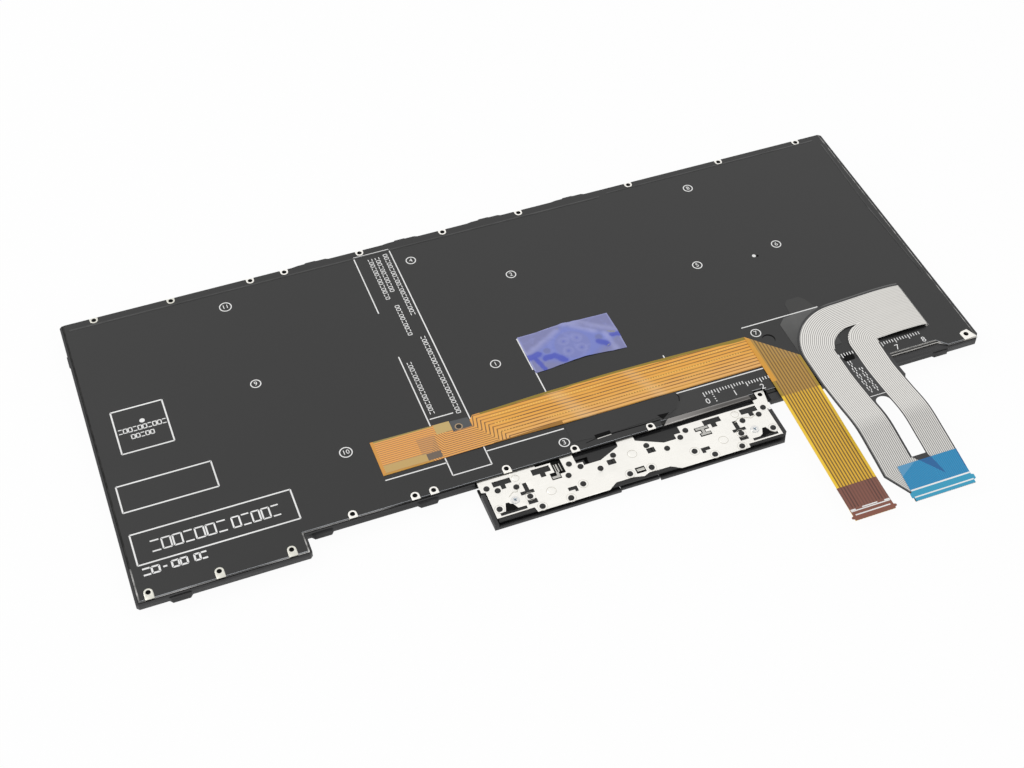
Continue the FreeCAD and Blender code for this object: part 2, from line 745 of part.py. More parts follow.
tail_gap = fuse("tail_gap", [
    between("gap_slot", slot_left, slot_right, slot_near, slot_far - slot_bend, ZERO, tall),
    cylinder("gap_round", slot_left + slot_bend, slot_far - slot_bend, ZERO, slot_bend, tall)])
tail_corner = prism("tail_corner", [
    (S.tail_left - 1, -S.tail_end - 1),
    (S.tail_left + 5.4, -S.tail_end - 1),
    (S.tail_left + 5.4, -S.tail_end + 2.5),
    (S.tail_left, -S.tail_end + 10.5),
    (S.tail_left - 1, -S.tail_end + 10.5),
], tall)
strands = cut("tail_strands", along, [bend_corner, crescent, tail_gap, tail_corner])
keep(fuse("membrane_circuit", [membrane_sheet, riser, across, strands]))


def end_stiffener(name, line, tail, x, to_x):
    """A stiffener on top of a tail's end that follows its slope, with a small ear at each side."""
    (end_y, end_z), (start_y, start_z) = [(along_y, height + tail) for along_y, height in line]
    slope = (start_z - end_z) / S.stiffener_length
    ears = [(end_y + reach, end_z + slope * reach) for reach in (S.ear_start, S.ear_end)]
    return fuse(name, [
        side_strip(f"{name}_core", [(end_y, end_z), (start_y, start_z)], S.stiffener, "YZ_Plane", x, to_x - x),
        side_strip(f"{name}_ears", ears, S.stiffener, "YZ_Plane", x - S.ear, to_x - x + S.ear * 2)])


keep(end_stiffener("tail_stiffener", end_line, S.tail, S.tail_left + 5.4, tail_right))


# Orange flex of the stick and the buttons, folded at 45 degrees

flex_far = S.flex_near + S.flex_width
flex_right = S.fold_start + S.flex_width
flex_shift = 1.3
flex_band = prism("flex_band", [
    (S.flex_start, S.flex_near + 0.1),
    (as_size(-61), S.flex_near + 0.4),
    (as_size(-47), S.flex_near),
    (flex_right, S.flex_near),
    (S.fold_start, flex_far),
    (as_size(-10), flex_far + 0.9),
    (as_size(-45), flex_far + 0.7),
    (as_size(-72.5), flex_far - 0.2),
    (as_size(-73.9), flex_far - 1.9),
    (as_size(-73.9), flex_far - 4.5),
    (as_size(-80.3), flex_far - 4.6),
    (as_size(-80.3), flex_far),
    (S.flex_start, flex_far + 0.3),
], S.flex, film_top)
flex_level = film_top + S.flex
flex_tail = side_strip("flex_side", [
    (-S.tail_end, sunk(flex_level, S.tail_end)),
    (-S.droop_start, flex_level),
    (flex_far, flex_level),
], S.flex, "YZ_Plane", S.fold_start - flex_shift, S.flex_width + flex_shift)
flex_plan = prism("flex_plan", [
    (S.fold_start, flex_far),
    (S.fold_start - 0.2, S.flex_near),
    (S.fold_start - flex_shift, -S.tail_end),
    (flex_right - flex_shift, -S.tail_end),
    (flex_right, S.flex_near),
], tall)
keep(fuse("pointing_flex", [flex_band, common("flex_tail", flex_tail, flex_plan)]))
flex_end = [(-reach, sunk(flex_level, reach)) for reach in (S.tail_end, stiffener_start)]
keep(end_stiffener("flex_stiffener", flex_end, S.flex, S.fold_start - flex_shift, flex_right - flex_shift))


# Pointing stick: sensor on the plate, post through it, cap between the keys

sensor = new_body("stick_sensor")
sensor_plan = outline(new_sketch(sensor, "outline"), [
    (-14.9, -1.9), (-4.9, -4.9), (11.1, -4.4), (15.6, -1.9), (15.6, 1.1), (9.1, 3.6), (2.6, 8.6), (-2.4, 8.6),
    (-7.4, 4.1), (-14.9, 0.6)])
pad(sensor, sensor_plan, S.light_guide + S.film + S.sensor_rise)
post_length = guide_level - S.stick_drop - S.stick_wall
pad(sensor, centred(new_sketch(sensor, "post", -post_length), S.post_side, S.post_side), post_length)
keep(sensor, stick_x, stick_y, guide_level)

stick_cap = new_body("stick_cap")
rim_sides = 20
turns = [2 * math.pi * n / rim_sides for n in range(rim_sides)]
rim = [(S.stick_radius * math.cos(turn), S.stick_radius * math.sin(turn)) for turn in turns]
block = pad(stick_cap, outline(new_sketch(stick_cap, "rim"), rim), S.stick_height)
crown = [f"Edge{number}" for number, edge in enumerate(block.Shape.Edges, 1)
         if all(abs(vertex.Point.z) < 0.01 for vertex in edge.Vertexes)]
rounded = stick_cap.newObject("PartDesign::Chamfer", "stick_cap_crown")
rounded.Base = (block, crown)
bind(rounded, "Size", S.stick_height * 0.3)
doc.recompute()
socket_side = S.post_side + S.post_fit * 2
pocket(stick_cap, centred(new_sketch(stick_cap, "socket", S.stick_height), socket_side, socket_side),
       S.stick_height - S.stick_wall)
keep(stick_cap, stick_x, stick_y, S.stick_drop)

keep(prism("sensor_film", [
    (-15.8, -7.3), (0.7, -6.3), (16.8, -7.3), (17.1, 0.9), (16.8, 9.7), (0.7, 10.5), (-15.8, 9.7),
], S.sensor_film), stick_x, stick_y, film_top + S.sensor_rise)


# Tapes on the film

keep(prism("cover_tape", [
    (-46.8, S.flex_near - 0.1), (-46.8, -3.6), (-36.0, -4.3), (-13.5, -3.6), (-10.4, -2.0), (-9.2, 0.6),
    (-8.6, S.flex_near - 0.1)], S.tape), z=film_top)
keep(prism("tail_tape", [
    (S.tail_left - 0.4, S.flex_near), (S.tail_left + 15, S.flex_near), (S.tail_left + 15, tail_top),
    (S.tail_left + 13, tail_top + 5.5), (S.tail_left + 11.5, tail_top + 7.2),
    (S.tail_left + 7, tail_top + 7.2), (S.tail_left + 5.5, tail_top + 5.5),
    (S.tail_left + 5, tail_top + 0.2), (S.tail_left + 2.2, tail_top),
    (S.tail_left - 0.4, tail_top - 2.4)], S.tape), z=film_top)


# Bezel frame: wall and ledge round the plate, bars between the keys

bezel_left = edge_left - S.bezel_side
bezel_right = S.edge_right + S.bezel_side
bezel_far = S.edge_far + S.bezel_far
bezel_near = edge_near - S.bezel_near
bezel_corner = corner_edge - S.bezel_near
bezel_arrow = arrow_edge - S.bezel_near
bezel_top = plate_level + S.bezel_rise
bezel = new_body("bezel_block")
block = pad(bezel, outline(new_sketch(bezel, "outline", S.bezel_face), [
    (bezel_left, bezel_arrow + S.bezel_corner),
    (bezel_left + S.bezel_corner, bezel_arrow),
    (arrow_right + S.bezel_near - S.bezel_corner, bezel_arrow),
    (arrow_right + S.bezel_near, bezel_arrow + S.bezel_corner),
    (arrow_right + S.bezel_near, bezel_near),
    (module_notch_right, bezel_near),
    (module_notch_right, bezel_corner),
    (bezel_right - 1.8, bezel_corner),
    (bezel_right, bezel_corner + 2.3),
    (bezel_right, bezel_far - S.bezel_corner),
    (bezel_right - S.bezel_corner, bezel_far),
    (bezel_left + S.bezel_corner, bezel_far),
    (bezel_left, bezel_far - S.bezel_corner),
]), bezel_top - S.bezel_face)
face_edges = [f"Edge{number}" for number, edge in enumerate(block.Shape.Edges, 1)
              if all(abs(vertex.Point.z - S.bezel_face.value) < 0.01 for vertex in edge.Vertexes)]
chamfer = bezel.newObject("PartDesign::Chamfer", "bezel_chamfer")
chamfer.Base = (block, face_edges)
bind(chamfer, "Size", S.bezel_chamfer)
doc.recompute()

inner_level = S.bezel_face + S.lattice
lip_top = S.bezel_face + 1.5
openings = []
for name, x, y, length, depth in CELLS:
    half, deep = (length - S.cap_gap) / 2 + S.opening_gap, (depth - S.cap_gap) / 2 + S.opening_gap
    openings.append(between(f"opening_{name}", x - half, x + half, y - deep, y + deep, ZERO, tall))
openings.append(faceted("opening_stick", 20, stick_x, stick_y, ZERO, S.stick_opening, tall))
hollowed = cut("bezel_hollowed", bezel, [
    prism("plate_seat", level_outline(-S.bezel_gap), tall, plate_level),
    prism("inner_room", level_outline(S.ledge), tall, inner_level),
    fuse("module_room", [
        between("module_edge", S.module_left - 0.5, module_notch_right, bezel_near - 1, edge_near + 0.65,
                lip_top, tall),
        between("module_tab", module_notch_left, module_notch_right, bezel_near - 1, strip_edge + 1, lip_top,
                tall)]),
    compound("key_openings", openings)])

lug_low, lug_top = S.bezel_face + S.bezel_chamfer, bezel_top - 0.6
bite = 0.2
LUGS_FAR = [0.3013, 0.4160, 0.5265, 0.6401]
LUGS_NEAR = [0.1877, 0.3056]


def near_lug(name, x, edge, length, reach):
    """A lug with slanted ends on a near edge."""
    return prism(name, [
        (x, edge + bite), (x + reach, edge - reach), (x + length - reach, edge - reach),
        (x + length, edge + bite),
    ], lug_top - lug_low, lug_low)


lugs = []
for n, share in enumerate(LUGS_FAR):
    x = edge_left + S.plate_length * share
    lugs.append(between(f"lug_far_{n}", x - S.lug_length / 2, x + S.lug_length / 2, bezel_far - bite,
                        bezel_far + S.lug_rise, lug_low, lug_top))
for n, share in enumerate(LUGS_NEAR):
    lugs.append(near_lug(f"lug_near_{n}", edge_left + S.plate_length * share, bezel_near, S.lug_length * 2,
                         S.near_lug))
lugs.append(near_lug("lug_arrow", bezel_left + 9.4, bezel_arrow, S.lug_length * 2, S.near_lug))
lugs.append(near_lug("lug_corner", bezel_right - 18.4, bezel_corner, as_size(6), S.near_lug * 0.6))
lugs.append(between("lug_left", bezel_left - S.lug_rise * 0.5, bezel_left + bite, S.edge_far - 17.1,
                    S.edge_far - 17.1 + S.lug_length, lug_low, lug_top))
for n, y in enumerate((60.9, 16.9)):
    lugs.append(between(f"lug_right_{n}", bezel_right - bite, bezel_right + S.lug_rise * 0.5, S.edge_far - y,
                        S.edge_far - y + S.lug_length, lug_low, lug_top))
keep(fuse("bezel_frame", [hollowed] + lugs))


# Button module. Places along it are measured from its left or right end and from its near edge.

def left(x):
    return S.module_left + x


def right(x):
    return module_right - x


def up(y):
    return S.module_near + y


def patches(name, places):
    """Openings of the stamped plate as boxes: end, from, to, near, far."""
    tools = []
    for number, (end, start, stop, near, far) in enumerate(places):
        x, to_x = (end(start), end(stop)) if end is left else (end(stop), end(start))
        tools.append(between(f"{name}_{number}", x, to_x, up(near), up(far), ZERO, tall))
    return tools


stamped = prism("button_plate_blank", [
    (left(0.25), up(17.5)), (left(0.25), up(13.0)), (left(1.6), up(12.4)), (left(1.4), up(2.0)),
    (left(13.5), up(2.1)), (left(13.9), up(0.3)), (left(37.6), up(0.3)), (left(40.6), up(2.2)),
    (left(46.2), up(2.2)), (right(49.4), up(1.4)), (right(47.5), up(2.2)), (right(40.4), up(2.0)),
    (right(37.1), up(0.3)), (right(13.6), up(0.3)), (right(13.5), up(1.6)), (right(1.45), up(1.6)),
    (right(1.45), up(12.6)), (right(0.1), up(12.6)), (right(0), up(15.1)), (right(-0.9), up(20.1)),
    (right(2.5), up(20.1)), (right(2.5), up(17.4)), (right(4.4), up(17.2)), (right(4.4), up(15.9)),
    (right(31.7), up(15.8)), (right(31.7), up(13.2)), (right(34), up(13.2)), (right(34), up(11.4)),
    (right(38.3), up(11.4)), (right(46.5), up(15.3)), (right(46.5), up(17.4)), (left(46.8), up(17.4)),
    (left(46.6), up(15.1)), (left(39.4), up(11.9)), (left(33.9), up(11.9)), (left(33.9), up(13.2)),
    (left(31.8), up(13.3)), (left(31.8), up(17.5)), (left(27.6), up(17.5)), (left(27.6), up(11.4)),
    (left(24.3), up(11.4)), (left(24.3), up(16.4)), (left(19.3), up(16.4)), (left(19.3), up(17.5)),
], S.module_plate, module_level)

plate_openings = patches("stamped_opening", [
    # T-shaped openings over the hinges
    (left, 4.5, 10.45, 13.5, 15.55), (left, 6.7, 8.2, 11.95, 13.6),
    (left, 17.45, 23.5, 13.5, 15.8), (left, 19.7, 21.4, 12.0, 13.6),
    (right, 17.42, 23.46, 13.2, 15.2), (right, 19.5, 21.3, 11.6, 13.3),
    (right, 4.6, 10.4, 13.05, 15.2), (right, 6.5, 8.1, 11.6, 13.1),
    # the same shape upside down, with a short slot under it
    (left, 13.1, 14.5, 8.8, 11.9), (left, 11.4, 15.8, 7.6, 8.9), (left, 12.4, 15.4, 3.6, 5.3),
    (right, 13.1, 14.6, 8.3, 11.6), (right, 11.5, 16.0, 7.2, 8.4), (right, 12.4, 15.3, 3.5, 5.1),
    # long slots beside the near edge
    (left, 2.95, 11.5, 2.5, 3.7), (right, 2.7, 11.35, 2.1, 3.1),
    # L-shaped openings
    (left, 25.65, 28.6, 4.1, 5.4), (left, 27.6, 28.6, 3.3, 4.2),
    (right, 25.6, 28.6, 3.9, 5.2), (right, 27.4, 28.6, 3.1, 4.0),
    # clip windows and the middle window
    (left, 40.95, 43.7, 9.1, 11.1), (right, 42.0, 44.7, 9.05, 11.05), (left, 47.95, 51.1, 2.9, 5.2),
])
wedges = [
    prism("wedge_left", [
        (left(5.8), up(6.6)), (left(7.0), up(3.6)), (left(8.1), up(3.6)), (left(6.8), up(6.6))], tall),
    prism("wedge_right", [
        (right(5.3), up(5.9)), (right(6.7), up(3.0)), (right(7.9), up(3.0)), (right(6.7), up(5.9))], tall),
]

POSTS_LEFT = [
    (2.3, 13.75), (5.25, 11.9), (11.1, 11.25), (13.8, 6.45), (3.3, 5.1), (29.6, 13.9), (32.6, 11.75),
    (27.8, 9.8),
    (30.75, 5.2), (15.9, 1.6), (25.25, 1.5), (38.1, 8.9), (43.8, 12.3), (45.8, 3.7),
]
POSTS_RIGHT = [
    (44.0, 12.2), (38.35, 8.9), (46.0, 3.7), (32.6, 11.5), (29.9, 13.5), (30.8, 4.8), (25.3, 1.5),
    (15.9, 1.5),
    (13.85, 6.2), (11.15, 10.8), (5.1, 11.4), (2.5, 13.5), (3.35, 4.8),
]
POSTS = [(left(x), up(y)) for x, y in POSTS_LEFT] + [(right(x), up(y)) for x, y in POSTS_RIGHT]
SCREWS = [(left(9.0), up(6.7)), (right(9.1), up(6.25))]
stake_holes = [faceted(f"stake_hole_{n}", 6, x, y, ZERO, S.post_radius + S.stake_fit, tall)
               for n, (x, y) in enumerate(POSTS)]
screw_holes = [faceted(f"screw_hole_{n}", 8, x, y, ZERO, S.screw_shank + S.screw_fit, tall)
               for n, (x, y) in enumerate(SCREWS)]
tab_hole = cylinder("module_tab_hole", right(0.9), up(18.75), ZERO, S.tab_hole, tall)
keep(cut("button_plate", stamped, [fuse("stamped_openings", plate_openings + wedges),
                                   compound("stake_holes", stake_holes + screw_holes + [tab_hole])]))

# Frame with its posts, and brackets that hold the hinge pins of the buttons
button_floor = S.button_face + S.button_wall
hinge_y = up(S.hinge_line)
hinge_z = button_floor + S.hinge_height
middle_left = left(S.middle_start)
middle_right = middle_left + S.middle_length
BUTTONS = [
    ("button_left", S.module_left, middle_left - S.button_gap, ZERO),
    ("button_middle", middle_left, middle_right, S.middle_step),
    ("button_right", middle_right + S.button_gap, module_right, ZERO),
]
hinge_step = S.lug_width + S.lug_gap
bracket_half = S.pin_radius + S.pin_fit + 0.35


def hinge_places(start, end):
    """Left face of each hinge lug of a button."""
    return [start + S.button_end + 0.9, end - S.button_end - 0.9 - hinge_step - S.lug_width]


frame_parts = [between("frame_blank", left(1.7), right(1.5), up(0.95), up(S.button_depth) - 0.05, frame_level,
                       module_level)]
frame_parts += [faceted(f"post_{n}", 6, x, y, frame_level, S.post_radius,
                        module_top + S.post_head - frame_level) for n, (x, y) in enumerate(POSTS)]
bores = []
for name, start, end, _ in BUTTONS:
    for n, x in enumerate(hinge_places(start, end)):
        bracket = x + hinge_step
        frame_parts.append(between(f"bracket_{name}_{n}", bracket, bracket + S.lug_width,
                                   hinge_y - bracket_half, hinge_y + bracket_half,
                                   button_floor + S.bracket_floor, frame_level))
        bores.append(rod(f"bore_{name}_{n}", bracket - 0.1, hinge_y, hinge_z, S.pin_radius + S.pin_fit,
                         S.lug_width + 0.2))
frame_screws = [faceted(f"frame_screw_{n}", 8, x, y, ZERO, S.screw_shank + S.screw_fit, tall)
                for n, (x, y) in enumerate(SCREWS)]
keep(cut("button_frame", fuse("frame_solid", frame_parts), [compound("frame_bores", bores + frame_screws)]))

# Buttons: a wall with a skirt, hinge lugs with pins, and a boss under the snap dome
dome_line = S.hinge_line - 7.2
circuit_level = frame_level - S.circuit
snap_level = circuit_level - S.snap_height
boss_top = snap_level - 0.45
for name, start, end, step in BUTTONS:
    near = S.module_near + step
    far = up(S.button_depth)
    bevel = name == "button_right"
    corners = [(start, near), (end - 1.3, near), (end, near + 2), (end, far), (start, far)] if bevel else [
        (start, near), (end, near), (end, far), (start, far)]
    parts = [prism(f"{name}_wall", corners, S.button_wall, S.button_face)]
    skirt_end = end - 1.3 if bevel else end
    parts.append(between(f"{name}_skirt", start, skirt_end, near, near + 0.8, S.button_face,
                         button_floor + S.button_skirt))
    if name == "button_left":
        parts.append(between(f"{name}_end", start, start + S.button_end, near, up(12.2), S.button_face,
                             S.button_end_top))
    if bevel:
        parts.append(between(f"{name}_end", end - S.button_end, end, near + 2, up(12.2), S.button_face,
                             S.button_end_top))
    for n, x in enumerate(hinge_places(start, end)):
        parts.append(between(f"{name}_lug_{n}", x, x + S.lug_width, hinge_y - 0.6, hinge_y + 0.6,
                             S.button_face, hinge_z + S.pin_radius + 0.05))
        parts.append(rod(f"{name}_pin_{n}", x + S.lug_width / 2, hinge_y, hinge_z, S.pin_radius,
                         hinge_step + S.lug_width / 2 - 0.1))
    parts.append(faceted(f"{name}_boss", 8, (start + end) / 2, up(dome_line), S.button_face, S.snap_dome / 2,
                          boss_top - S.button_face))
    keep(fuse(name, parts))

keep(compound("button_circuit", [between("circuit_strip", left(3), right(3), up(3), up(13), circuit_level,
                                         frame_level)]))
snap_places = [((start + end) / 2, up(dome_line)) for _, start, end, _ in BUTTONS]
snaps = [faceted(f"snap_dome_{n}", 12, x, y, snap_level, S.snap_dome, S.snap_height)
         for n, (x, y) in enumerate(snap_places)]
keep(compound("button_domes", snaps))

# Screws with cross recesses
screws = []
for n, (x, y) in enumerate(SCREWS):
    head = faceted(f"screw_head_{n}", 12, x, y, module_top, S.screw_head, S.screw_rise)
    shank = faceted(f"screw_shank_{n}", 8, x, y, frame_level + 0.1, S.screw_shank, S.screw_rise + module_top
                    - frame_level - 0.2)
    recess_floor = module_top + S.screw_rise - 0.2
    recess = [between(f"recess_{n}_{m}", x - half, x + half, y - deep, y + deep, recess_floor, tall)
              for m, (half, deep) in enumerate(((0.75, 0.15), (0.15, 0.75)))]
    screws.append(cut(f"screw_{n}", fuse(f"screw_solid_{n}", [head, shank]), [fuse(f"recess_{n}", recess)]))
keep(compound("module_screws", screws))

# Springs and clips that show in the stamped plate's openings
leaf = module_level + 0.15
springs = [
    fuse("spring_left", [
        between("spring_strip", left(24.5), left(27.1), up(11.6), up(15.8), module_level, leaf),
        between("spring_hook", left(24.5), left(25.4), up(11.6), up(12.2), module_level, module_top + 0.15),
        between("spring_arm", left(24.5), left(25.4), up(10.0), up(12.2), module_top, module_top + 0.15),
        between("spring_foot", left(22.75), left(25.4), up(10.0), up(10.9), module_top, module_top + 0.15)]),
    fuse("spring_right", [
        between("clip_far", right(26.9), right(22.7), up(12.0), up(12.9), module_top, module_top + 0.15),
        between("clip_middle", right(25.2), right(24.2), up(9.6), up(12.9), module_top, module_top + 0.15),
        between("clip_near", right(26.0), right(22.7), up(9.6), up(10.4), module_top, module_top + 0.15)]),
    between("clip_left", left(42.7), left(43.6), up(9.2), up(11.0), module_level, module_top + 0.1),
    between("clip_right", right(42.9), right(42.1), up(9.15), up(10.95), module_level, module_top + 0.1),
]
keep(compound("button_springs", springs))


# Check every piece, then write it

doc.recompute()
for thing in doc.Objects:
    if "Invalid" in thing.State or "Error" in thing.State:
        raise RuntimeError(f"{thing.Label} failed: {thing.State}")
os.makedirs("parts", exist_ok=True)
for thing in nodes:
    if thing.Shape.isNull() or not thing.Shape.isValid() or not thing.Shape.Solids:
        raise RuntimeError(f"{thing.Label} has no sound shape")
    thing.Shape.exportStep(f"parts/{thing.Label}.step")
print(len(nodes), "pieces written")
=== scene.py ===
import json
import math

import bmesh
import bpy
from mathutils import Matrix, Vector, noise


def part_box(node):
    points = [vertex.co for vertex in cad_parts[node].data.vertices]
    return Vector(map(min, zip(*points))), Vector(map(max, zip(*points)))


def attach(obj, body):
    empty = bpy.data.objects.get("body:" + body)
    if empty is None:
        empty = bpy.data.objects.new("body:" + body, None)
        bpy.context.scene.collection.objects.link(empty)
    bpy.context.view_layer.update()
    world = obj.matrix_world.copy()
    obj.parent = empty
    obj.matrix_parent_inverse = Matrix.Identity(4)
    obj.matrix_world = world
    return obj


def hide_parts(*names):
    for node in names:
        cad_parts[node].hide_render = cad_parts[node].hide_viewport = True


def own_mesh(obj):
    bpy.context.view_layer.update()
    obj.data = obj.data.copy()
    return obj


bl_info = {
    "name": "Laptop Keyboard, Underside Up",
    "version": (1, 0, 0),
    "blender": (4, 5, 0),
    "location": "View3D > Sidebar > Keyboard",
    "description": "Films, flexes, button module and stage of a laptop replacement keyboard",
    "category": "Object",
}

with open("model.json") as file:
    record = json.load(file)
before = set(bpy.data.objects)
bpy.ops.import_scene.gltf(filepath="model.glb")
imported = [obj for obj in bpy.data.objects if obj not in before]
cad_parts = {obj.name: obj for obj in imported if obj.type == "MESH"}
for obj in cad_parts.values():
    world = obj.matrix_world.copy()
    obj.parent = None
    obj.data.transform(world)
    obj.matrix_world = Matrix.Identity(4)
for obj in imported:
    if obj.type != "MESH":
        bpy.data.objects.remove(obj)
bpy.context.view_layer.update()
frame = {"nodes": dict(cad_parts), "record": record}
MM = 0.001

# Places are in millimetres from the zero of the scale printed on the film, heights from the floor
PLATE_RIGHT, PLATE_FAR = 97.0, 102.3
PLATE_NEAR, ARROW_NEAR = -7.4, -14.6
PLATE_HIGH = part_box("base_plate")[1]
ZERO_X = PLATE_HIGH.x / MM - PLATE_RIGHT
ZERO_Y = PLATE_HIGH.y / MM - PLATE_FAR
FILM_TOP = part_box("backing_film")[1].z / MM

# Thicknesses of the sheets that lie on the film
TAPE, TAIL, FLEX, STIFFENER = 0.05, 0.18, 0.15, 0.2
FLEX_LEVEL = FILM_TOP + FLEX

# Both tails droop from one line past the near edge, and end in stiffeners
DROOP_START, DROOP = 9.0, 2.4
STIFFENER_START, TAIL_END = 48.0, 60.4

# The silver tail, from its slot in the film to its left side
TAIL_LOW = FILM_TOP + TAPE
TAIL_SLOT, TAIL_RIGHT, TAIL_LEFT = 83.48, 64.4, 37.7
TAIL_NEAR, TAIL_FAR = 1.7, 22.0
# Heights of the silver tail over the film, along it and from its slot across
ARCH = ((-72.0, -4.4), (-60.4, -2.4), (-48.0, -0.19), (-41.0, 0.99), (-31.0, 2.3), (-20.0, 1.06), (-9.0, 0.0),
        (0.0, 0.0))
SWELL = ((48.0, 0.0), (60.0, 0.3), (73.0, 1.1), (80.3, 1.1), (83.48, 0.77))

MODULE_LEFT, MODULE_RIGHT, MODULE_NEAR = -80.6, 18.5, -24.4
MODULE_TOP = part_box("button_plate")[1].z / MM

# Screw tabs of the plate: their holes, and the side of the plate that they open to
NEAR_TABS = [(x, -12.1, ARROW_NEAR) for x in (-183.0, -162.0, -140.2)] + [
    (x, -5.9, PLATE_NEAR) for x in (-119.5, -99.7, -93.7, -70.0, -47.2, -21.3)]
FAR_TABS = [(x, 101.3, PLATE_FAR) for x in (-176.0, -150.0, -122.5, -110.5, -83.5, -53.0, -24.3, 18.5, 54.8, 86.7)]
CORNER_TAB = (93.9, -6.3)
TAB_RADIUS, TAB_HOLE = 1.36, 0.8
LUGS = (-101.0, -68.5, -37.2, -5.0)


def at(x, y, z):
    """A place given in scale coordinates, in metres."""
    return Vector((x + ZERO_X, y + ZERO_Y, z)) * MM


def scale_place(co):
    """A place given in metres, in scale coordinates."""
    return Vector((co.x / MM - ZERO_X, co.y / MM - ZERO_Y, co.z / MM))


def arc(x, y, radius, start, end, steps):
    """Points on an arc, with angles in degrees."""
    turns = [math.radians(start + (end - start) * n / steps) for n in range(steps + 1)]
    return [(x + radius * math.cos(a), y + radius * math.sin(a)) for a in turns]


def opening(x, y, radius):
    """The outline of a round hole."""
    return arc(x, y, radius, 0, 345, 23)


def from_end(end, x, y):
    """A place measured from the stamped plate's left near corner (1) or its right near corner (-1)."""
    return (MODULE_LEFT if end > 0 else MODULE_RIGHT) + end * x, MODULE_NEAR + y


# Meshes

def slab(bm, x, to_x, y, to_y, z, to_z, turn=0.0):
    """A box between two corners, turned about its own middle."""
    size = Vector((to_x - x, to_y - y, to_z - z)) * MM
    middle = at((x + to_x) / 2, (y + to_y) / 2, (z + to_z) / 2)
    matrix = Matrix.Translation(middle) @ Matrix.Rotation(math.radians(turn), 4, "Z") @ Matrix.Diagonal((*size, 1))
    return bmesh.ops.create_cube(bm, size=1, matrix=matrix)["verts"]


def line(bm, start, end, width, z, height):
    """A straight printed or moulded line between two places."""
    (x, y), (to_x, to_y) = start, end
    length = math.hypot(to_x - x, to_y - y)
    turn = math.degrees(math.atan2(to_y - y, to_x - x))
    middle_x, middle_y = (x + to_x) / 2, (y + to_y) / 2
    slab(bm, middle_x - length / 2, middle_x + length / 2, middle_y - width / 2, middle_y + width / 2, z,
         z + height, turn)


def disc(bm, x, y, z, radius, height, sides=24, top=None):
    """An upright round block, or a cone where its top has another radius."""
    matrix = Matrix.Translation(at(x, y, z + height / 2))
    return bmesh.ops.create_cone(bm, cap_ends=True, segments=sides, radius1=radius * MM,
                                 radius2=(radius if top is None else top) * MM, depth=height * MM,
                                 matrix=matrix)["verts"]


def ring(bm, x, y, z, radius, width, height, sides=32):
    """A flat ring."""
    verts = bmesh.ops.create_circle(bm, cap_ends=True, segments=sides, radius=radius * MM,
                                    matrix=Matrix.Translation(at(x, y, z)))["verts"]
    face = verts[0].link_faces[0]
    inner = bmesh.ops.inset_individual(bm, faces=[face], thickness=width * MM)
    rim = inner["faces"]
    bmesh.ops.delete(bm, geom=[face], context="FACES_ONLY")
    thicken(bm, rim, height)


def thicken(bm, faces, height):
    """Give open faces a thickness upwards, or downwards where height is negative."""
    made = bmesh.ops.extrude_face_region(bm, geom=faces, use_keep_orig=True)
    verts = [v for v in made["geom"] if isinstance(v, bmesh.types.BMVert)]
    bmesh.ops.translate(bm, verts=verts, vec=(0, 0, height * MM))
    bmesh.ops.recalc_face_normals(bm, faces=bm.faces)


def fill(bm, loops, z):
    """A flat sheet inside the first loop and outside the others."""
    edges = []
    for loop in loops:
        verts = [bm.verts.new(at(x, y, z)) for x, y in loop]
        edges += [bm.edges.new(pair) for pair in zip(verts, verts[1:] + verts[:1])]
    filled = bmesh.ops.triangle_fill(bm, edges=edges, use_beauty=True, use_dissolve=False, normal=(0, 0, 1))
    return [f for f in filled["geom"] if isinstance(f, bmesh.types.BMFace)]


def score(bm, step_x, step_y):
    """Cut a mesh along even lines, so that it can bend."""
    for axis, step in ((0, step_x), (1, step_y)):
        if not step:
            continue
        places = [v.co[axis] / MM for v in bm.verts]
        place = (math.floor(min(places) / step) + 1) * step
        while place < max(places) - 0.01:
            spot, normal = Vector(), Vector()
            spot[axis], normal[axis] = place * MM, 1
            bmesh.ops.bisect_plane(bm, geom=bm.verts[:] + bm.edges[:] + bm.faces[:], dist=1e-7, plane_co=spot,
                                   plane_no=normal)
            place += step


def lift(bm, height):
    """Raise each point by a height that depends on where it is."""
    for v in bm.verts:
        p = scale_place(v.co)
        v.co.z += height(p.x, p.y) * MM


def curve_height(points, place):
    """Height of a smooth curve through points, level beyond its ends."""
    if place <= points[0][0]:
        return points[0][1]
    if place >= points[-1][0]:
        return points[-1][1]
    n = next(n for n in range(len(points)) if place <= points[n + 1][0])

    def slope(k):
        if k in (0, len(points) - 1):
            return 0.0
        return (points[k + 1][1] - points[k - 1][1]) / (points[k + 1][0] - points[k - 1][0])

    (start, low), (end, high) = points[n], points[n + 1]
    t, span = (place - start) / (end - start), end - start
    return ((2 * t ** 3 - 3 * t ** 2 + 1) * low + (t ** 3 - 2 * t ** 2 + t) * span * slope(n)
            + (3 * t ** 2 - 2 * t ** 3) * high + (t ** 3 - t ** 2) * span * slope(n + 1))


def arched(x, y):
    """How far the silver tail stands over the film at a place."""
    along = curve_height(ARCH, y)
    swell = curve_height(SWELL, x) * max(0.0, min(1.0, (y + DROOP_START) / DROOP_START))
    return swell + (along if y < -DROOP_START else max(0.0, along))


def sunk(x, y):
    """How far the orange flex sinks at a place, as its CAD solid does, with a soft start."""
    slope = DROOP / (TAIL_END - DROOP_START)
    past = -DROOP_START - y
    if past <= -4:
        return 0.0
    return -slope * (past if past > 4 else (past + 4) ** 2 / 16)


def reach(co, start, end):
    """Distance of a place from a straight stretch."""
    a, b, p = Vector(start), Vector(end), Vector(co[:2])
    along = max(0.0, min(1.0, (p - a).dot(b - a) / (b - a).length_squared))
    return (p - a.lerp(b, along)).length


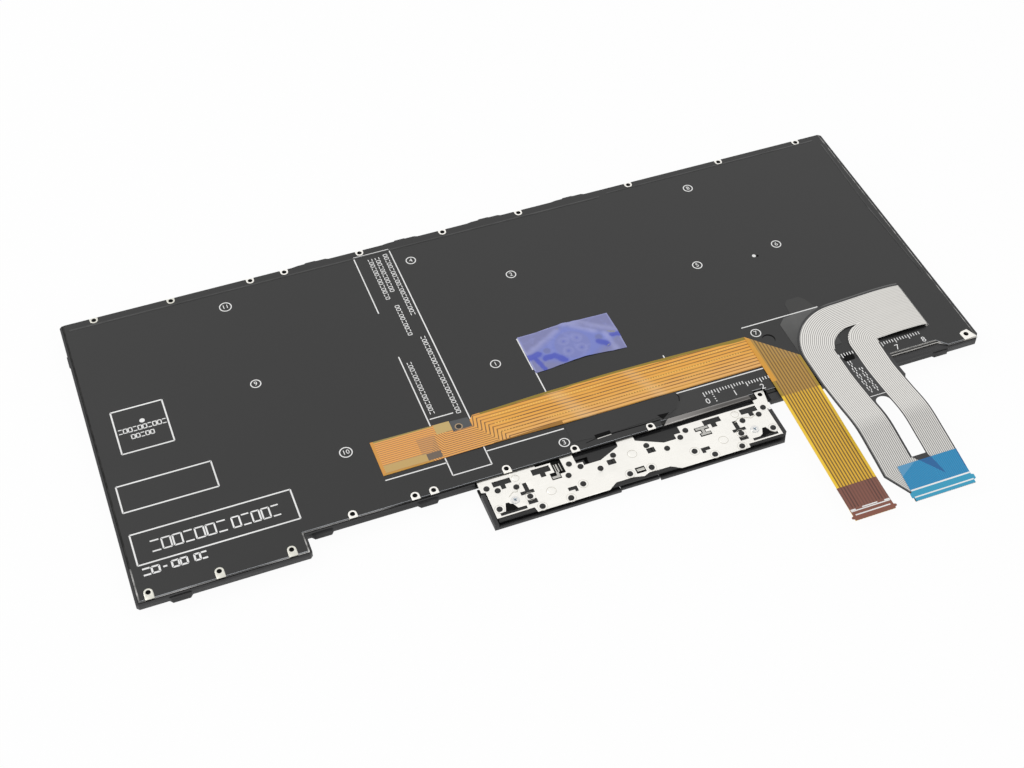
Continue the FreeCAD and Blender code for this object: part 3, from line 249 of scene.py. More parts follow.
def hill(distance, width):
    """A smooth bump of height 1 that ends at a width."""
    return 0.0 if distance >= width else (1 + math.cos(math.pi * distance / width)) / 2


def paint(bm, name, value):
    """Keep a number at each point, for a material to read."""
    layer = bm.verts.layers.float.new(name)
    for v in bm.verts:
        p = scale_place(v.co)
        v[layer] = value(p.x, p.y)


def node_mesh(node):
    """A CAD node's mesh as a closed one with whole faces."""
    bm = bmesh.new()
    bm.from_mesh(frame["nodes"][node].data)
    bmesh.ops.remove_doubles(bm, verts=bm.verts, dist=2e-6)
    bmesh.ops.dissolve_limit(bm, angle_limit=math.radians(1), use_dissolve_boundaries=False, verts=bm.verts,
                             edges=bm.edges)
    return bm


def soften(bm, width, segments=2, angle=30, edges=None):
    """Round the sharp edges."""
    edges = [e for e in (bm.edges if edges is None else edges)
             if len(e.link_faces) == 2 and e.calc_face_angle(0) > math.radians(angle)]
    bmesh.ops.bevel(bm, geom=edges, offset=width * MM, offset_type="OFFSET", affect="EDGES", segments=segments,
                    profile=0.5, material=-1, clamp_overlap=True, loop_slide=True)


def text(bm, words, x, y, height, z, thickness, turn=0.0):
    """Plain numbers, with their middle at a place."""
    curve = bpy.data.curves.new("numbers", "FONT")
    curve.body = words
    curve.size = height * MM / 0.7
    curve.align_x = "CENTER"
    curve.align_y = "CENTER"
    curve.extrude = thickness * MM / 2
    curve.resolution_u = 3
    holder = bpy.data.objects.new("numbers", curve)
    mesh = bpy.data.meshes.new_from_object(holder)
    mesh.transform(Matrix.Translation(at(x, y, z + thickness / 2)) @ Matrix.Rotation(math.radians(turn), 4, "Z"))
    bm.from_mesh(mesh)
    bpy.data.objects.remove(holder)
    bpy.data.curves.remove(curve)
    bpy.data.meshes.remove(mesh)


def piece(name, bm, material, body="keyboard", replaces=(), smooth=35):
    """Turn a bmesh into a piece that rides on a body."""
    mesh = bpy.data.meshes.new(name)
    bm.to_mesh(mesh)
    bm.free()
    if smooth:
        mesh.shade_smooth()
        mesh.set_sharp_from_angle(angle=math.radians(smooth))
    obj = bpy.data.objects.new(name, mesh)
    bpy.context.scene.collection.objects.link(obj)
    mesh.materials.append(material)
    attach(obj, body)
    if replaces:
        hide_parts(*replaces)
    return obj


def toned(colour, share):
    """A colour made darker or lighter by a share, as a shader takes it."""
    return (*[min(1, c * share) for c in colour], 1)


def dress(node, material):
    """Give a CAD node its material."""
    mesh = frame["nodes"][node].data
    mesh.materials.clear()
    mesh.materials.append(material)


def body_of(node):
    """The CAD body that a node rides on."""
    return next(b for b, members in frame["record"]["behaviour"]["bodies"].items() if node in members)


def rounded_copy(node, name, width, material, segments=2, angle=30):
    """A CAD node with its sharp edges rounded."""
    bm = node_mesh(node)
    soften(bm, width, segments, angle)
    return piece(name, bm, material, body_of(node), (node,))


# Materials

class Graph:
    """Short calls that add and join the nodes of a tree."""

    def __init__(self, tree):
        self.tree = tree

    def add(self, kind, **settings):
        node = self.tree.nodes.new(kind)
        for key, value in settings.items():
            setattr(node, key, value)
        return node

    def put(self, socket, value):
        if isinstance(value, bpy.types.NodeSocket):
            self.tree.links.new(value, socket)
        elif value is not None:
            socket.default_value = value

    def sums(self, operation, first, second=None, third=None, clamp=False):
        node = self.add("ShaderNodeMath", operation=operation, use_clamp=clamp)
        for socket, value in zip(node.inputs, (first, second, third)):
            self.put(socket, value)
        return node.outputs[0]

    def mix(self, factor, first, second):
        node = self.add("ShaderNodeMix", data_type="RGBA")
        self.put(node.inputs["Factor"], factor)
        colours = [s for s in node.inputs if s.type == "RGBA"]
        self.put(colours[0], first)
        self.put(colours[1], second)
        return next(s for s in node.outputs if s.type == "RGBA")

    def spread(self, value, start, end, low=0.0, high=1.0, smooth=False):
        node = self.add("ShaderNodeMapRange", interpolation_type="SMOOTHSTEP" if smooth else "LINEAR")
        for socket, number in zip(node.inputs, (value, start, end, low, high)):
            self.put(socket, number)
        return node.outputs[0]

    def cloud(self, vector, scale, detail=2.0, rough=0.5):
        node = self.add("ShaderNodeTexNoise")
        self.put(node.inputs["Vector"], vector)
        self.put(node.inputs["Scale"], scale)
        self.put(node.inputs["Detail"], detail)
        self.put(node.inputs["Roughness"], rough)
        return node.outputs["Fac"]

    def places(self, stretch=(1, 1, 1)):
        """Object coordinates as millimetres from the printed scale's zero."""
        coordinates = self.add("ShaderNodeTexCoord")
        mapping = self.add("ShaderNodeMapping")
        self.put(mapping.inputs["Vector"], coordinates.outputs["Object"])
        mapping.inputs["Location"].default_value = (-ZERO_X * stretch[0], -ZERO_Y * stretch[1], 0)
        mapping.inputs["Scale"].default_value = [1000 * s for s in stretch]
        return mapping.outputs["Vector"]

    def painted(self, name):
        """A number kept at the points of the mesh."""
        return self.add("ShaderNodeAttribute", attribute_name=name).outputs["Fac"]

    def over(self, value, edge):
        return self.sums("GREATER_THAN", value, edge)

    def under(self, value, edge):
        return self.sums("LESS_THAN", value, edge)

    def opposite(self, value):
        return self.sums("SUBTRACT", 1.0, value)

    def all(self, first, *others):
        for other in others:
            first = self.sums("MULTIPLY", first, other)
        return first

    def any(self, first, *others):
        for other in others:
            first = self.sums("MAXIMUM", first, other)
        return first

    def ramp(self, base, *layers):
        """Colours laid over each other, each with its mask."""
        for mask, colour in layers:
            base = self.mix(mask, base, colour if isinstance(colour, bpy.types.NodeSocket) else (*colour, 1))
        return base

    def split(self, vector):
        node = self.add("ShaderNodeSeparateXYZ")
        self.put(node.inputs[0], vector)
        return node.outputs[0], node.outputs[1], node.outputs[2]

    def group(self, tree, **values):
        node = self.add("ShaderNodeGroup", node_tree=tree)
        for key, value in values.items():
            self.put(node.inputs[key], value)
        return node.outputs


def effect(name, inputs, outputs):
    """A new shader group with named sockets, as its graph, its inputs and its outputs."""
    tree = bpy.data.node_groups.new(name, "ShaderNodeTree")
    for label, kind, default in inputs:
        socket = tree.interface.new_socket(label, in_out="INPUT", socket_type=kind)
        if default is not None:
            socket.default_value = default
    for label, kind in outputs:
        tree.interface.new_socket(label, in_out="OUTPUT", socket_type=kind)
    graph = Graph(tree)
    return graph, graph.add("NodeGroupInput").outputs, graph.add("NodeGroupOutput").inputs


def grain_effect():
    """Fine moulded grain with slow changes of gloss."""
    tree = bpy.data.node_groups.get("moulded_grain")
    if tree:
        return tree
    graph, given, made = effect("moulded_grain", [
        ("Vector", "NodeSocketVector", None), ("Size", "NodeSocketFloat", 0.2), ("Gloss", "NodeSocketFloat", 0.5),
        ("Change", "NodeSocketFloat", 0.1)],
        [("Height", "NodeSocketFloat"), ("Roughness", "NodeSocketFloat"), ("Mask", "NodeSocketFloat")])
    fine = graph.cloud(given["Vector"], graph.sums("DIVIDE", 1.0, given["Size"]), 3.0, 0.6)
    slow = graph.cloud(given["Vector"], 0.06, 2.0, 0.5)
    graph.put(made["Height"], fine)
    shift = graph.sums("MULTIPLY", graph.sums("SUBTRACT", slow, 0.5), given["Change"])
    graph.put(made["Roughness"], graph.sums("ADD", given["Gloss"], shift))
    graph.put(made["Mask"], slow)
    return graph.tree


def dust_effect():
    """A few pale specks of dust and lint."""
    tree = bpy.data.node_groups.get("dust_specks")
    if tree:
        return tree
    graph, given, made = effect("dust_specks", [
        ("Vector", "NodeSocketVector", None), ("Spacing", "NodeSocketFloat", 6.0), ("Size", "NodeSocketFloat", 0.05),
        ("Share", "NodeSocketFloat", 0.2)],
        [("Mask", "NodeSocketFloat")])
    cells = graph.add("ShaderNodeTexVoronoi")
    graph.put(cells.inputs["Vector"], given["Vector"])
    graph.put(cells.inputs["Scale"], graph.sums("DIVIDE", 1.0, given["Spacing"]))
    near = graph.sums("LESS_THAN", cells.outputs["Distance"], given["Size"])
    red = graph.add("ShaderNodeSeparateColor")
    graph.put(red.inputs[0], cells.outputs["Color"])
    chosen = graph.sums("LESS_THAN", red.outputs[0], given["Share"])
    graph.put(made["Mask"], graph.sums("MULTIPLY", near, chosen))
    return graph.tree


def tracks_effect():
    """Parallel tracks across a distance: 1 on a track and 0 between."""
    tree = bpy.data.node_groups.get("parallel_tracks")
    if tree:
        return tree
    graph, given, made = effect("parallel_tracks", [
        ("Distance", "NodeSocketFloat", 0.0), ("Pitch", "NodeSocketFloat", 0.8), ("Width", "NodeSocketFloat", 0.5)],
        [("Mask", "NodeSocketFloat")])
    share = graph.sums("FRACT", graph.sums("DIVIDE", given["Distance"], given["Pitch"]))
    away = graph.sums("MULTIPLY", graph.sums("ABSOLUTE", graph.sums("SUBTRACT", share, 0.5)), 2.0)
    edge = graph.sums("SUBTRACT", 1.0, given["Width"])
    graph.put(made["Mask"], graph.spread(away, graph.sums("SUBTRACT", edge, 0.12), graph.sums("ADD", edge, 0.12),
                                         smooth=True))
    return graph.tree


def scratch_effect():
    """Faint scuffs and wiping marks on sheet metal."""
    tree = bpy.data.node_groups.get("metal_scuffs")
    if tree:
        return tree
    graph, given, made = effect("metal_scuffs", [
        ("Vector", "NodeSocketVector", None), ("Gloss", "NodeSocketFloat", 0.3)],
        [("Roughness", "NodeSocketFloat"), ("Height", "NodeSocketFloat"), ("Mask", "NodeSocketFloat")])
    patches = graph.cloud(given["Vector"], 0.12, 3.0, 0.6)
    stretch = graph.add("ShaderNodeMapping")
    graph.put(stretch.inputs["Vector"], given["Vector"])
    stretch.inputs["Rotation"].default_value = (0, 0, 0.5)
    stretch.inputs["Scale"].default_value = (0.25, 6.0, 1.0)
    streaks = graph.cloud(stretch.outputs["Vector"], 1.0, 4.0, 0.65)
    both = graph.sums("ADD", graph.sums("MULTIPLY", patches, 0.6), graph.sums("MULTIPLY", streaks, 0.4))
    graph.put(made["Roughness"], graph.sums("ADD", given["Gloss"], graph.spread(both, 0.35, 0.65, -0.08, 0.12)))
    graph.put(made["Height"], streaks)
    graph.put(made["Mask"], graph.spread(both, 0.4, 0.62))
    return graph.tree


# Materials made here, since the frame holds plain ones under some of the same names
MADE = {}


def new_material(name, colour, roughness, metallic=0.0):
    """A material with its graph and its shader, over the plain one that the frame may hold under that name."""
    material = bpy.data.materials.get(name) or bpy.data.materials.new(name)
    MADE[name] = material
    material.use_nodes = True
    graph = Graph(material.node_tree)
    shader = material.node_tree.nodes["Principled BSDF"]
    shader.inputs["Base Color"].default_value = (*colour, 1)
    shader.inputs["Roughness"].default_value = roughness
    shader.inputs["Metallic"].default_value = metallic
    return material, graph, shader


def bump(graph, shader, height, strength, distance):
    """Feed a height to the shader as a bump, with its distance in millimetres."""
    node = graph.add("ShaderNodeBump")
    node.inputs["Strength"].default_value = strength
    node.inputs["Distance"].default_value = distance * MM
    graph.put(node.inputs["Height"], height)
    graph.put(shader.inputs["Normal"], node.outputs["Normal"])


def moulded(name, colour, gloss, size=0.25, depth=0.02, change=0.12, dusty=0.0):
    """Moulded plastic, rubber or a matt film."""
    if name in MADE:
        return MADE[name]
    material, graph, shader = new_material(name, colour, gloss)
    places = graph.places()
    grain = graph.group(grain_effect(), Vector=places, Size=size, Gloss=gloss, Change=change)
    graph.put(shader.inputs["Roughness"], grain["Roughness"])
    tone = graph.spread(grain["Mask"], 0.3, 0.7)
    shade = graph.mix(tone, toned(colour, 0.92), toned(colour, 1.08))
    if dusty:
        specks = graph.group(dust_effect(), Vector=places, Spacing=5.0, Size=0.035, Share=dusty)["Mask"]
        shade = graph.mix(specks, shade, (0.35, 0.35, 0.34, 1))
    graph.put(shader.inputs["Base Color"], shade)
    bump(graph, shader, grain["Height"], 0.5, depth)
    return material


def white_ink():
    """The thick white ink of the film's print."""
    return moulded("white_ink", settings().print_colour, 0.55, 0.5, 0.004)


def hollow():
    """Painted shade: a near-black material that stands in for the dark of a hole or a gap, which sends almost no
    light back.
    """
    material = moulded("shade_black", (0.003, 0.003, 0.003), 0.8)
    material.node_tree.nodes["Principled BSDF"].inputs["Specular IOR Level"].default_value = 0.12
    return material


def sheet_metal(name, colour, gloss, depth=0.01):
    """Plated or bare sheet metal with faint scuffs."""
    if name in MADE:
        return MADE[name]
    material, graph, shader = new_material(name, colour, gloss, 1.0)
    marks = graph.group(scratch_effect(), Vector=graph.places(), Gloss=gloss)
    graph.put(shader.inputs["Roughness"], marks["Roughness"])
    graph.put(shader.inputs["Base Color"], graph.mix(marks["Mask"], (*colour, 1), toned(colour, 0.93)))
    bump(graph, shader, marks["Height"], 0.3, depth)
    return material


class KeyboardSettings(bpy.types.PropertyGroup):
    """Colours and sizes of the films, flexes and metal."""

    film_colour: bpy.props.FloatVectorProperty(name="Film", description="Colour of the black film", size=3,
                                               subtype="COLOR", default=(0.0112, 0.0112, 0.011))
    print_colour: bpy.props.FloatVectorProperty(name="Print", description="Colour of the white print", size=3,
                                                subtype="COLOR", default=(0.92, 0.92, 0.91))
    bezel_colour: bpy.props.FloatVectorProperty(name="Bezel", description="Colour of the bezel and the buttons",
                                                size=3, subtype="COLOR", default=(0.016, 0.016, 0.017))
    key_colour: bpy.props.FloatVectorProperty(name="Keys", description="Colour of the key caps", size=3,
                                              subtype="COLOR", default=(0.02, 0.02, 0.021))
    plate_colour: bpy.props.FloatVectorProperty(name="Plate", description="Colour of the bare sheet metal", size=3,
                                                subtype="COLOR", default=(0.78, 0.77, 0.75))
    silver_colour: bpy.props.FloatVectorProperty(name="Silver tail", description="Colour of the silver tail", size=3,
                                                 subtype="COLOR", default=(0.95, 0.93, 0.885))
    orange_colour: bpy.props.FloatVectorProperty(name="Orange flex", description="Colour of the orange flex", size=3,
                                                 subtype="COLOR", default=(0.9, 0.43, 0.1))
    blue_colour: bpy.props.FloatVectorProperty(name="Blue film", description="Colour of the film over the sensor",
                                               size=3, subtype="COLOR", default=(0.2, 0.24, 0.62))
    print_width: bpy.props.FloatProperty(name="Line width", description="Width of the printed lines in millimetres",
                                         default=0.5, min=0.1, max=2.0)
    ink: bpy.props.FloatProperty(name="Ink", description="Thickness of the print in millimetres", default=0.012,
                                 min=0.001, max=0.05, precision=3)
    cap_round: bpy.props.FloatProperty(name="Cap edges", description="Rounding of the caps' edges in millimetres",
                                       default=0.25, min=0.05, max=0.5)


def settings():
    return bpy.context.scene.keyboard_settings


class KEYBOARD_OT_bezel(bpy.types.Operator):
    """Dress the bezel, the plate and the light guide"""

    bl_idname = "keyboard.bezel"
    bl_label = "Bezel and Plate"

    def execute(self, context):
        s = settings()
        plastic = moulded("bezel_plastic", s.bezel_colour, 0.5, 0.3, 0.02, dusty=0.05)
        bm = node_mesh("bezel_frame")
        top = max(v.co.z for v in bm.verts)
        soften(bm, 0.3, 3, 30, [e for e in bm.edges if max(v.co.z for v in e.verts) > top - 0.3 * MM])
        piece("bezel_shell", bm, plastic, replaces=("bezel_frame",))
        bm = bmesh.new()
        lug_depth, lug_rise = 1.2, 0.35
        for x in LUGS:
            outline = ((-7.5, 0.1), (7.0, 0.1), (5.5, 0.7), (2.2, 0.7), (1.8, 0.93), (-1.6, 0.93), (-1.9, 0.6),
                       (-4.5, 0.55))
            fill(bm, [[(x + along, PLATE_FAR + out) for along, out in outline]], top / MM - lug_depth)
        thicken(bm, list(bm.faces), lug_depth + lug_rise)
        soften(bm, 0.12, 2, 30)
        piece("far_lugs", bm, plastic)
        material, graph, shader = new_material("bare_metal", s.plate_colour, 0.3, 1.0)
        x, y, _ = graph.split(graph.places())
        marks = graph.group(scratch_effect(), Vector=graph.places(), Gloss=0.3)
        graph.put(shader.inputs["Roughness"], marks["Roughness"])
        # Painted highlight and shade: the bare plate is painted nearly black, and bright only along its right end and
        # its left near rim, where the light catches those edges. Noise breaks up that painted highlight. A darker
        # strip is painted between x 62 and 86.
        rim_highlight_noise = graph.cloud(graph.places((0.06, 0.3, 1)), 1.0, 2.0)
        left_rim_highlight = graph.all(graph.spread(x, -96.0, -120.0, 0.0, 0.45), graph.under(y, -2.0))
        rim = graph.any(graph.spread(x, 50.0, 70.0, 0.02, 0.5), left_rim_highlight)
        rim = graph.sums("MULTIPLY", rim, graph.spread(rim_highlight_noise, 0.4, 0.62, 0.35, 1.5))
        strip = graph.all(graph.over(x, 62.0), graph.under(x, 86.0), graph.under(y, -5.3), graph.over(y, -6.1))
        shade = graph.mix(marks["Mask"], (*s.plate_colour, 1), toned(s.plate_colour, 0.93))
        shade = graph.mix(graph.opposite(rim), shade, (0.024, 0.024, 0.023, 1))
        shade = graph.ramp(shade, (strip, (0.04, 0.04, 0.04)))
        graph.put(shader.inputs["Base Color"], shade)
        bump(graph, shader, marks["Height"], 0.3, 0.01)
        dress("base_plate", material)
        bm = bmesh.new()
        low = FILM_TOP - 0.38
        for x, y, edge in NEAR_TABS + FAR_TABS:
            start = 0 if edge < y else 180
            outer = arc(x, y, TAB_RADIUS, start, start + 180, 12)
            outer += [(outer[-1][0], edge), (outer[0][0], edge)]
            fill(bm, [outer, opening(x, y, TAB_HOLE)], low)
        corner = [(92.2, -8.5), (91.9, -5.5), (92.9, -4.8), (95.2, -4.5), (96.7, -8.2)]
        fill(bm, [corner, opening(*CORNER_TAB, TAB_HOLE + 0.05)], low)
        thicken(bm, list(bm.faces), 0.4)
        soften(bm, 0.05, 2, 30)
        tab_metal, graph, shader = new_material("tab_metal", s.plate_colour, 0.4, 1.0)
        x, _, _ = graph.split(graph.places())
        graph.put(shader.inputs["Base Color"], graph.mix(graph.spread(x, -136.0, -118.0), (0.7, 0.69, 0.62, 1),
                                                         (0.93, 0.91, 0.86, 1)))
        piece("screw_tabs", bm, tab_metal)
        bm = bmesh.new()
        for x, y in [(x, y) for x, y, _ in NEAR_TABS + FAR_TABS] + [CORNER_TAB]:
            disc(bm, x, y, low + 0.05, TAB_HOLE + 0.04, 0.1)
        piece("tab_shadows", bm, hollow(), smooth=None)

        bm = bmesh.new()
        fill(bm, [[(-17.4, -7.3), (-15.4, -5.1), (13.9, -5.1), (13.9, -6.7), (-4.0, -7.0)]], FILM_TOP - 0.7)
        thicken(bm, list(bm.faces), 0.72)
        soften(bm, 0.45, 5, 30, [e for e in bm.edges if min(v.co.z for v in e.verts) > (FILM_TOP - 0.1) * MM])
        # Painted highlight and shade: the formed strip is painted lighter at its left end and along its far edge, and
        # darker towards its right near part, as its rounded edge catches the light.
        material, graph, shader = new_material("formed_strip", (0.3, 0.3, 0.29), 0.28, 1.0)
        x, y, _ = graph.split(graph.places())
        graph.put(shader.inputs["Base Color"], graph.mix(
            graph.all(graph.spread(x, -15.0, 6.0, smooth=True), graph.spread(y, -5.35, -5.65)), (0.27, 0.26, 0.25, 1),
            (0.11, 0.105, 0.1, 1)))
        piece("formed_strip", bm, material)
        dress("light_guide", moulded("guide_sheet", (0.55, 0.57, 0.6), 0.25, 0.8, 0.005))
        return {"FINISHED"}


class KEYBOARD_OT_film(bpy.types.Operator):
    """Lay the black film over the plate"""

    bl_idname = "keyboard.film"
    bl_label = "Backing Film"

    def execute(self, context):
        s = settings()
        material, graph, shader = new_material("black_film", s.film_colour, 0.36)
        places = graph.places()
        grain = graph.group(grain_effect(), Vector=places, Size=0.35, Gloss=0.36, Change=0.1)
        graph.put(shader.inputs["Roughness"], grain["Roughness"])
        specks = graph.group(dust_effect(), Vector=places, Spacing=9.0, Size=0.02, Share=0.12)["Mask"]
        x, y, _ = graph.split(places)
        # The film is painted lighter in a patch near its near edge, between a slanting line and x 26, strongest at
        # its left.
        lighter_patch = graph.all(graph.spread(graph.sums("MULTIPLY_ADD", y, -0.9, x), -9.5, -7.5), graph.under(x, 26.0),
                          graph.under(y, 3.2), graph.spread(x, 16.0, -2.0, 0.15, 1.0))
        colour = graph.mix(lighter_patch, (*s.film_colour, 1), toned(s.film_colour, 1.9))
        colour = graph.mix(specks, colour, (0.3, 0.3, 0.29, 1))
        graph.put(shader.inputs["Base Color"], colour)
        bump(graph, shader, grain["Height"], 0.2, 0.01)
        bm = node_mesh("backing_film")
        score(bm, 6.0, 6.0)
        top = [v for v in bm.verts if v.co.z > (FILM_TOP - 0.02) * MM]
        for v in top:
            p = v.co * 1000
            wave = noise.noise(Vector((p.x * 0.035, p.y * 0.05, 0.3)))
            v.co.z -= (0.012 + 0.012 * wave) * MM
        piece("backing_film_sheet", bm, material, replaces=("backing_film",), smooth=20)

        bm = bmesh.new()
        z = FILM_TOP - 0.03
        for start, end, width in (((-184.5, 99.3), (6.0, 98.9), 0.7), ((9.0, 99.8), (93.0, 99.9), 0.6),
                                  ((95.2, 97.0), (94.3, 60.0), 0.5), ((94.3, 60.0), (95.4, 24.0), 0.5)):
            line(bm, start, end, width, z, 0.09)
        soften(bm, 0.06, 2, 30)
        # Painted highlight: the raised lines along the film's far and right edges are painted lighter than the film,
        # with a random cloud, for the light caught on the film's ridges there.
        ridge, graph, shader = new_material("ridge_highlight", [c * 2.4 for c in s.film_colour], 0.3)
        haze = graph.cloud(graph.places((0.12, 0.12, 1)), 1.0, 3.0, 0.6)
        graph.put(shader.inputs["Base Color"], graph.mix(graph.spread(haze, 0.38, 0.6), toned(s.film_colour, 1.3),
                                                         toned(s.film_colour, 3.4)))
        piece("film_ridges", bm, ridge)
        # Painted highlights: two small white discs for glints of light at two small holes in the film.
        bm = bmesh.new()
        for x, y, radius in ((-170.5, 52.6, 0.85), (44.5, 52.0, 0.7)):
            disc(bm, x, y, FILM_TOP - 0.01, radius, 0.06, 20, radius * 0.6)
        piece("film_hole_glints", bm, white_ink())
        # Painted shadow: near-black discs, a crescent and a small triangle laid where holes in the film show dark,
        # and a small dark dot beside a painted highlight.
        bm = bmesh.new()
        for x, y, radius in ((51.9, -1.9, 2.1), (45.6, 51.6, 0.5)):
            disc(bm, x, y, FILM_TOP - 0.01, radius, 0.02, 28)
        fill(bm, [arc(31.0, 14.55, 2.25, -38, 155, 24) + arc(30.65, 14.1, 2.2, 155, -38, 24)], FILM_TOP + 0.01)
        fill(bm, [[(-11.5, -6.2), (-12.6, -5.6), (-10.4, -5.4)]], FILM_TOP + 0.01)
        piece("film_hole_shadows", bm, hollow(), smooth=None)
        return {"FINISHED"}


class KEYBOARD_OT_print(bpy.types.Operator):
    """Print the boxes, lines, numbers and the scale on the film"""

    bl_idname = "keyboard.print"
    bl_label = "Film Print"

    def execute(self, context):
        s = settings()
        w, z, ink = s.print_width, FILM_TOP - 0.01, s.ink + 0.012
        thin = w * 0.8
        bm = bmesh.new()

        def frame_box(x, to_x, y, to_y, width=w):
            for start, end in (((x, y), (to_x, y)), ((x, to_y), (to_x, to_y)), ((x, y), (x, to_y)),
                               ((to_x, y), (to_x, to_y))):
                line(bm, start, end, width, z, ink)

        def cells(place, count, length, height, gap, width, turn=0.0, seed=0):
            """A row of plain hollow boxes and double bars."""
            along = Vector((math.cos(math.radians(turn)), math.sin(math.radians(turn))))
            up = Vector((-along.y, along.x)) * height
            for n in range(count):
                a = Vector(place) + along * n * (length + gap)
                b = a + along * length
                strokes = [(a, b), (a + up, b + up)]
                if (n * 2 + seed) % 3:
                    strokes += [(a, a + up), (b, b + up)]
                for start, end in strokes:
                    line(bm, start, end, width, z, ink)

        for x, to_x, y, to_y in ((-179.3, -162.8, 41.0, 59.0), (-183.8, -154.3, 18.5, 29.0),
                                 (-183.8, -134.5, -2.0, 9.7)):
            frame_box(x, to_x, y, to_y)
        cells((-178.6, 1.6), 7, 2.6, 3.9, 0.75, 0.5)
        cells((-154.0, 1.6), 5, 2.3, 3.9, 0.75, 0.5, seed=1)
        cells((-182.9, -6.0), 2, 2.2, 2.3, 0.5, 0.6)
        line(bm, (-176.9, -4.8), (-175.7, -4.8), 0.6, z, ink)
        cells((-174.2, -6.0), 2, 2.0, 2.3, 0.5, 0.6, seed=2)
        cells((-167.5, -6.0), 2, 1.6, 2.3, 0.5, 0.6, seed=1)
        cells((-178.5, 49.2), 10, 1.15, 1.7, 0.4, 0.34)
        cells((-175.0, 46.2), 5, 1.1, 1.6, 0.4, 0.34, seed=2)
        for start, end in (((-73.5, 99.5), (-73.5, -2.7)), ((-86.3, 99.5), (-86.3, 71.0)),
                           ((-86.3, 50.0), (-86.3, -2.7)), ((-86.3, 99.5), (-73.5, 99.5)),
                           ((-86.3, -2.7), (-73.5, -2.7)), ((-85.6, 21.1), (-77.7, 21.1)),
                           ((-106.3, 2.7), (-86.3, 2.7)), ((-73.5, 2.7), (-47.3, 2.7)),
                           ((-72.5, 17.7), (-66.0, 17.7)), ((-47.2, 44.0), (-47.2, 29.3)),
                           ((-46.8, 28.2), (-46.8, 18.7)), ((-4.9, 19.0), (-4.9, 20.2)),
                           ((-7.8, 3.6), (23.4, 3.6))):
            line(bm, start, end, thin, z, ink)
        line(bm, (24.7, 22.2), (53.4, 22.2), thin, z + TAPE, ink)
        for x, y, to_y, seed in ((-81.2, 76.4, 98.0, 1), (-78.7, 79.4, 98.0, 2), (-75.6, 66.5, 98.0, 3),
                                 (-79.5, 58.0, 73.0, 4), (-76.0, 20.5, 57.0, 5), (-84.0, 23.0, 47.0, 6)):
            cells((x + 0.7, y), int((to_y - y) / 1.5), 1.0, 1.3, 0.5, 0.26, 90.0, seed)
        for number, x, y in ((11, -133.5, 92.0), (4, -68.0, 91.5), (8, 38.0, 92.0), (2, -38.0, 73.0),
                             (9, -133.0, 55.0), (5, 24.0, 54.7), (6, 54.5, 54.6), (1, -57.7, 36.0),
                             (10, -114.3, 17.6), (7, 28.3, 18.6), (3, -49.3, -2.6)):
            ring(bm, x, y, z, 2.12 if number > 9 else 1.8, 0.34, ink)
            text(bm, str(number), x, y, 1.7, z, ink)
        tick = 0.0
        while tick <= 79.8:
            drop = 0.0 if tick < 15 else -0.7
            long = 1.9 if abs(tick % 5) < 0.1 else 1.2
            line(bm, (tick + 0.25, drop + 0.95), (tick + 0.25, drop + 0.95 - long), 0.3, z, ink)
            tick += 1.0
        for number, x, y in ((0, 0.3, -3.0), (1, 10.1, -2.9), (2, 19.6, -3.5), (7, 69.3, -3.6), (8, 79.3, -3.6)):
            text(bm, str(number), x, y, 2.2, z, ink)
        for n in range(5):
            slab(bm, 2.8, 3.2, -4.0 + n, -3.6 + n, z, z + ink)
        piece("film_print", bm, white_ink(), smooth=None)
        return {"FINISHED"}


def islands(bm):
    """The separate solids of a mesh, each as a set of its faces."""
    left = set(bm.faces)
    found = []
    for first in bm.faces:
        if first not in left:
            continue
        left.discard(first)
        group, edge = {first}, [first]
        while edge:
            face = edge.pop()
            for vert in face.verts:
                for near in vert.link_faces:
                    if near in left:
                        left.discard(near)
                        group.add(near)
                        edge.append(near)
        found.append(group)
    return found


def folding(node, prefix, material):
    """The part of a node under each moving key, as a piece of its own."""
    keys = {name[4:]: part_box(name) for name in sorted(frame["nodes"]) if name.startswith("key_") and name != "key_bank"}
    for key, (start, stop) in keys.items():
        bm = node_mesh(node)
        others = []
        for group in islands(bm):
            middle = sum((face.calc_center_median() for face in group), Vector()) / len(group)
            if not (start.x < middle.x < stop.x and start.y < middle.y < stop.y):
                others += group
        bmesh.ops.delete(bm, geom=others, context="FACES")
        if bm.faces:
            folded = piece(f"{prefix}_{key}", bm, material, replaces=(node,))
            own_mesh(folded)
        else:
            bm.free()


class KEYBOARD_OT_keys(bpy.types.Operator):
    """Round the key caps and dress what carries them"""

    bl_idname = "keyboard.keys"
    bl_label = "Keys and Links"

    def execute(self, context):
        s = settings()
        plastic = moulded("key_plastic", s.key_colour, 0.55, 0.22, 0.015)
        for node in sorted(frame["nodes"]):
            if node.startswith("key_") and node != "key_bank":
                rounded_copy(node, f"{node}_cap", s.cap_round, plastic, 2)
        dress("key_bank", plastic)
        folding("rubber_domes", "dome", moulded("dome_rubber", (0.62, 0.62, 0.6), 0.45, 0.3, 0.01))
        folding("scissor_links", "link", moulded("link_plastic", (0.5, 0.5, 0.49), 0.4, 0.3, 0.01))
        folding("stabiliser_wires", "wire", sheet_metal("drawn_wire", (0.55, 0.55, 0.54), 0.35))
        dress("stick_cap", moulded("stick_rubber", (0.35, 0.02, 0.02), 0.7, 0.5, 0.08))
        return {"FINISHED"}


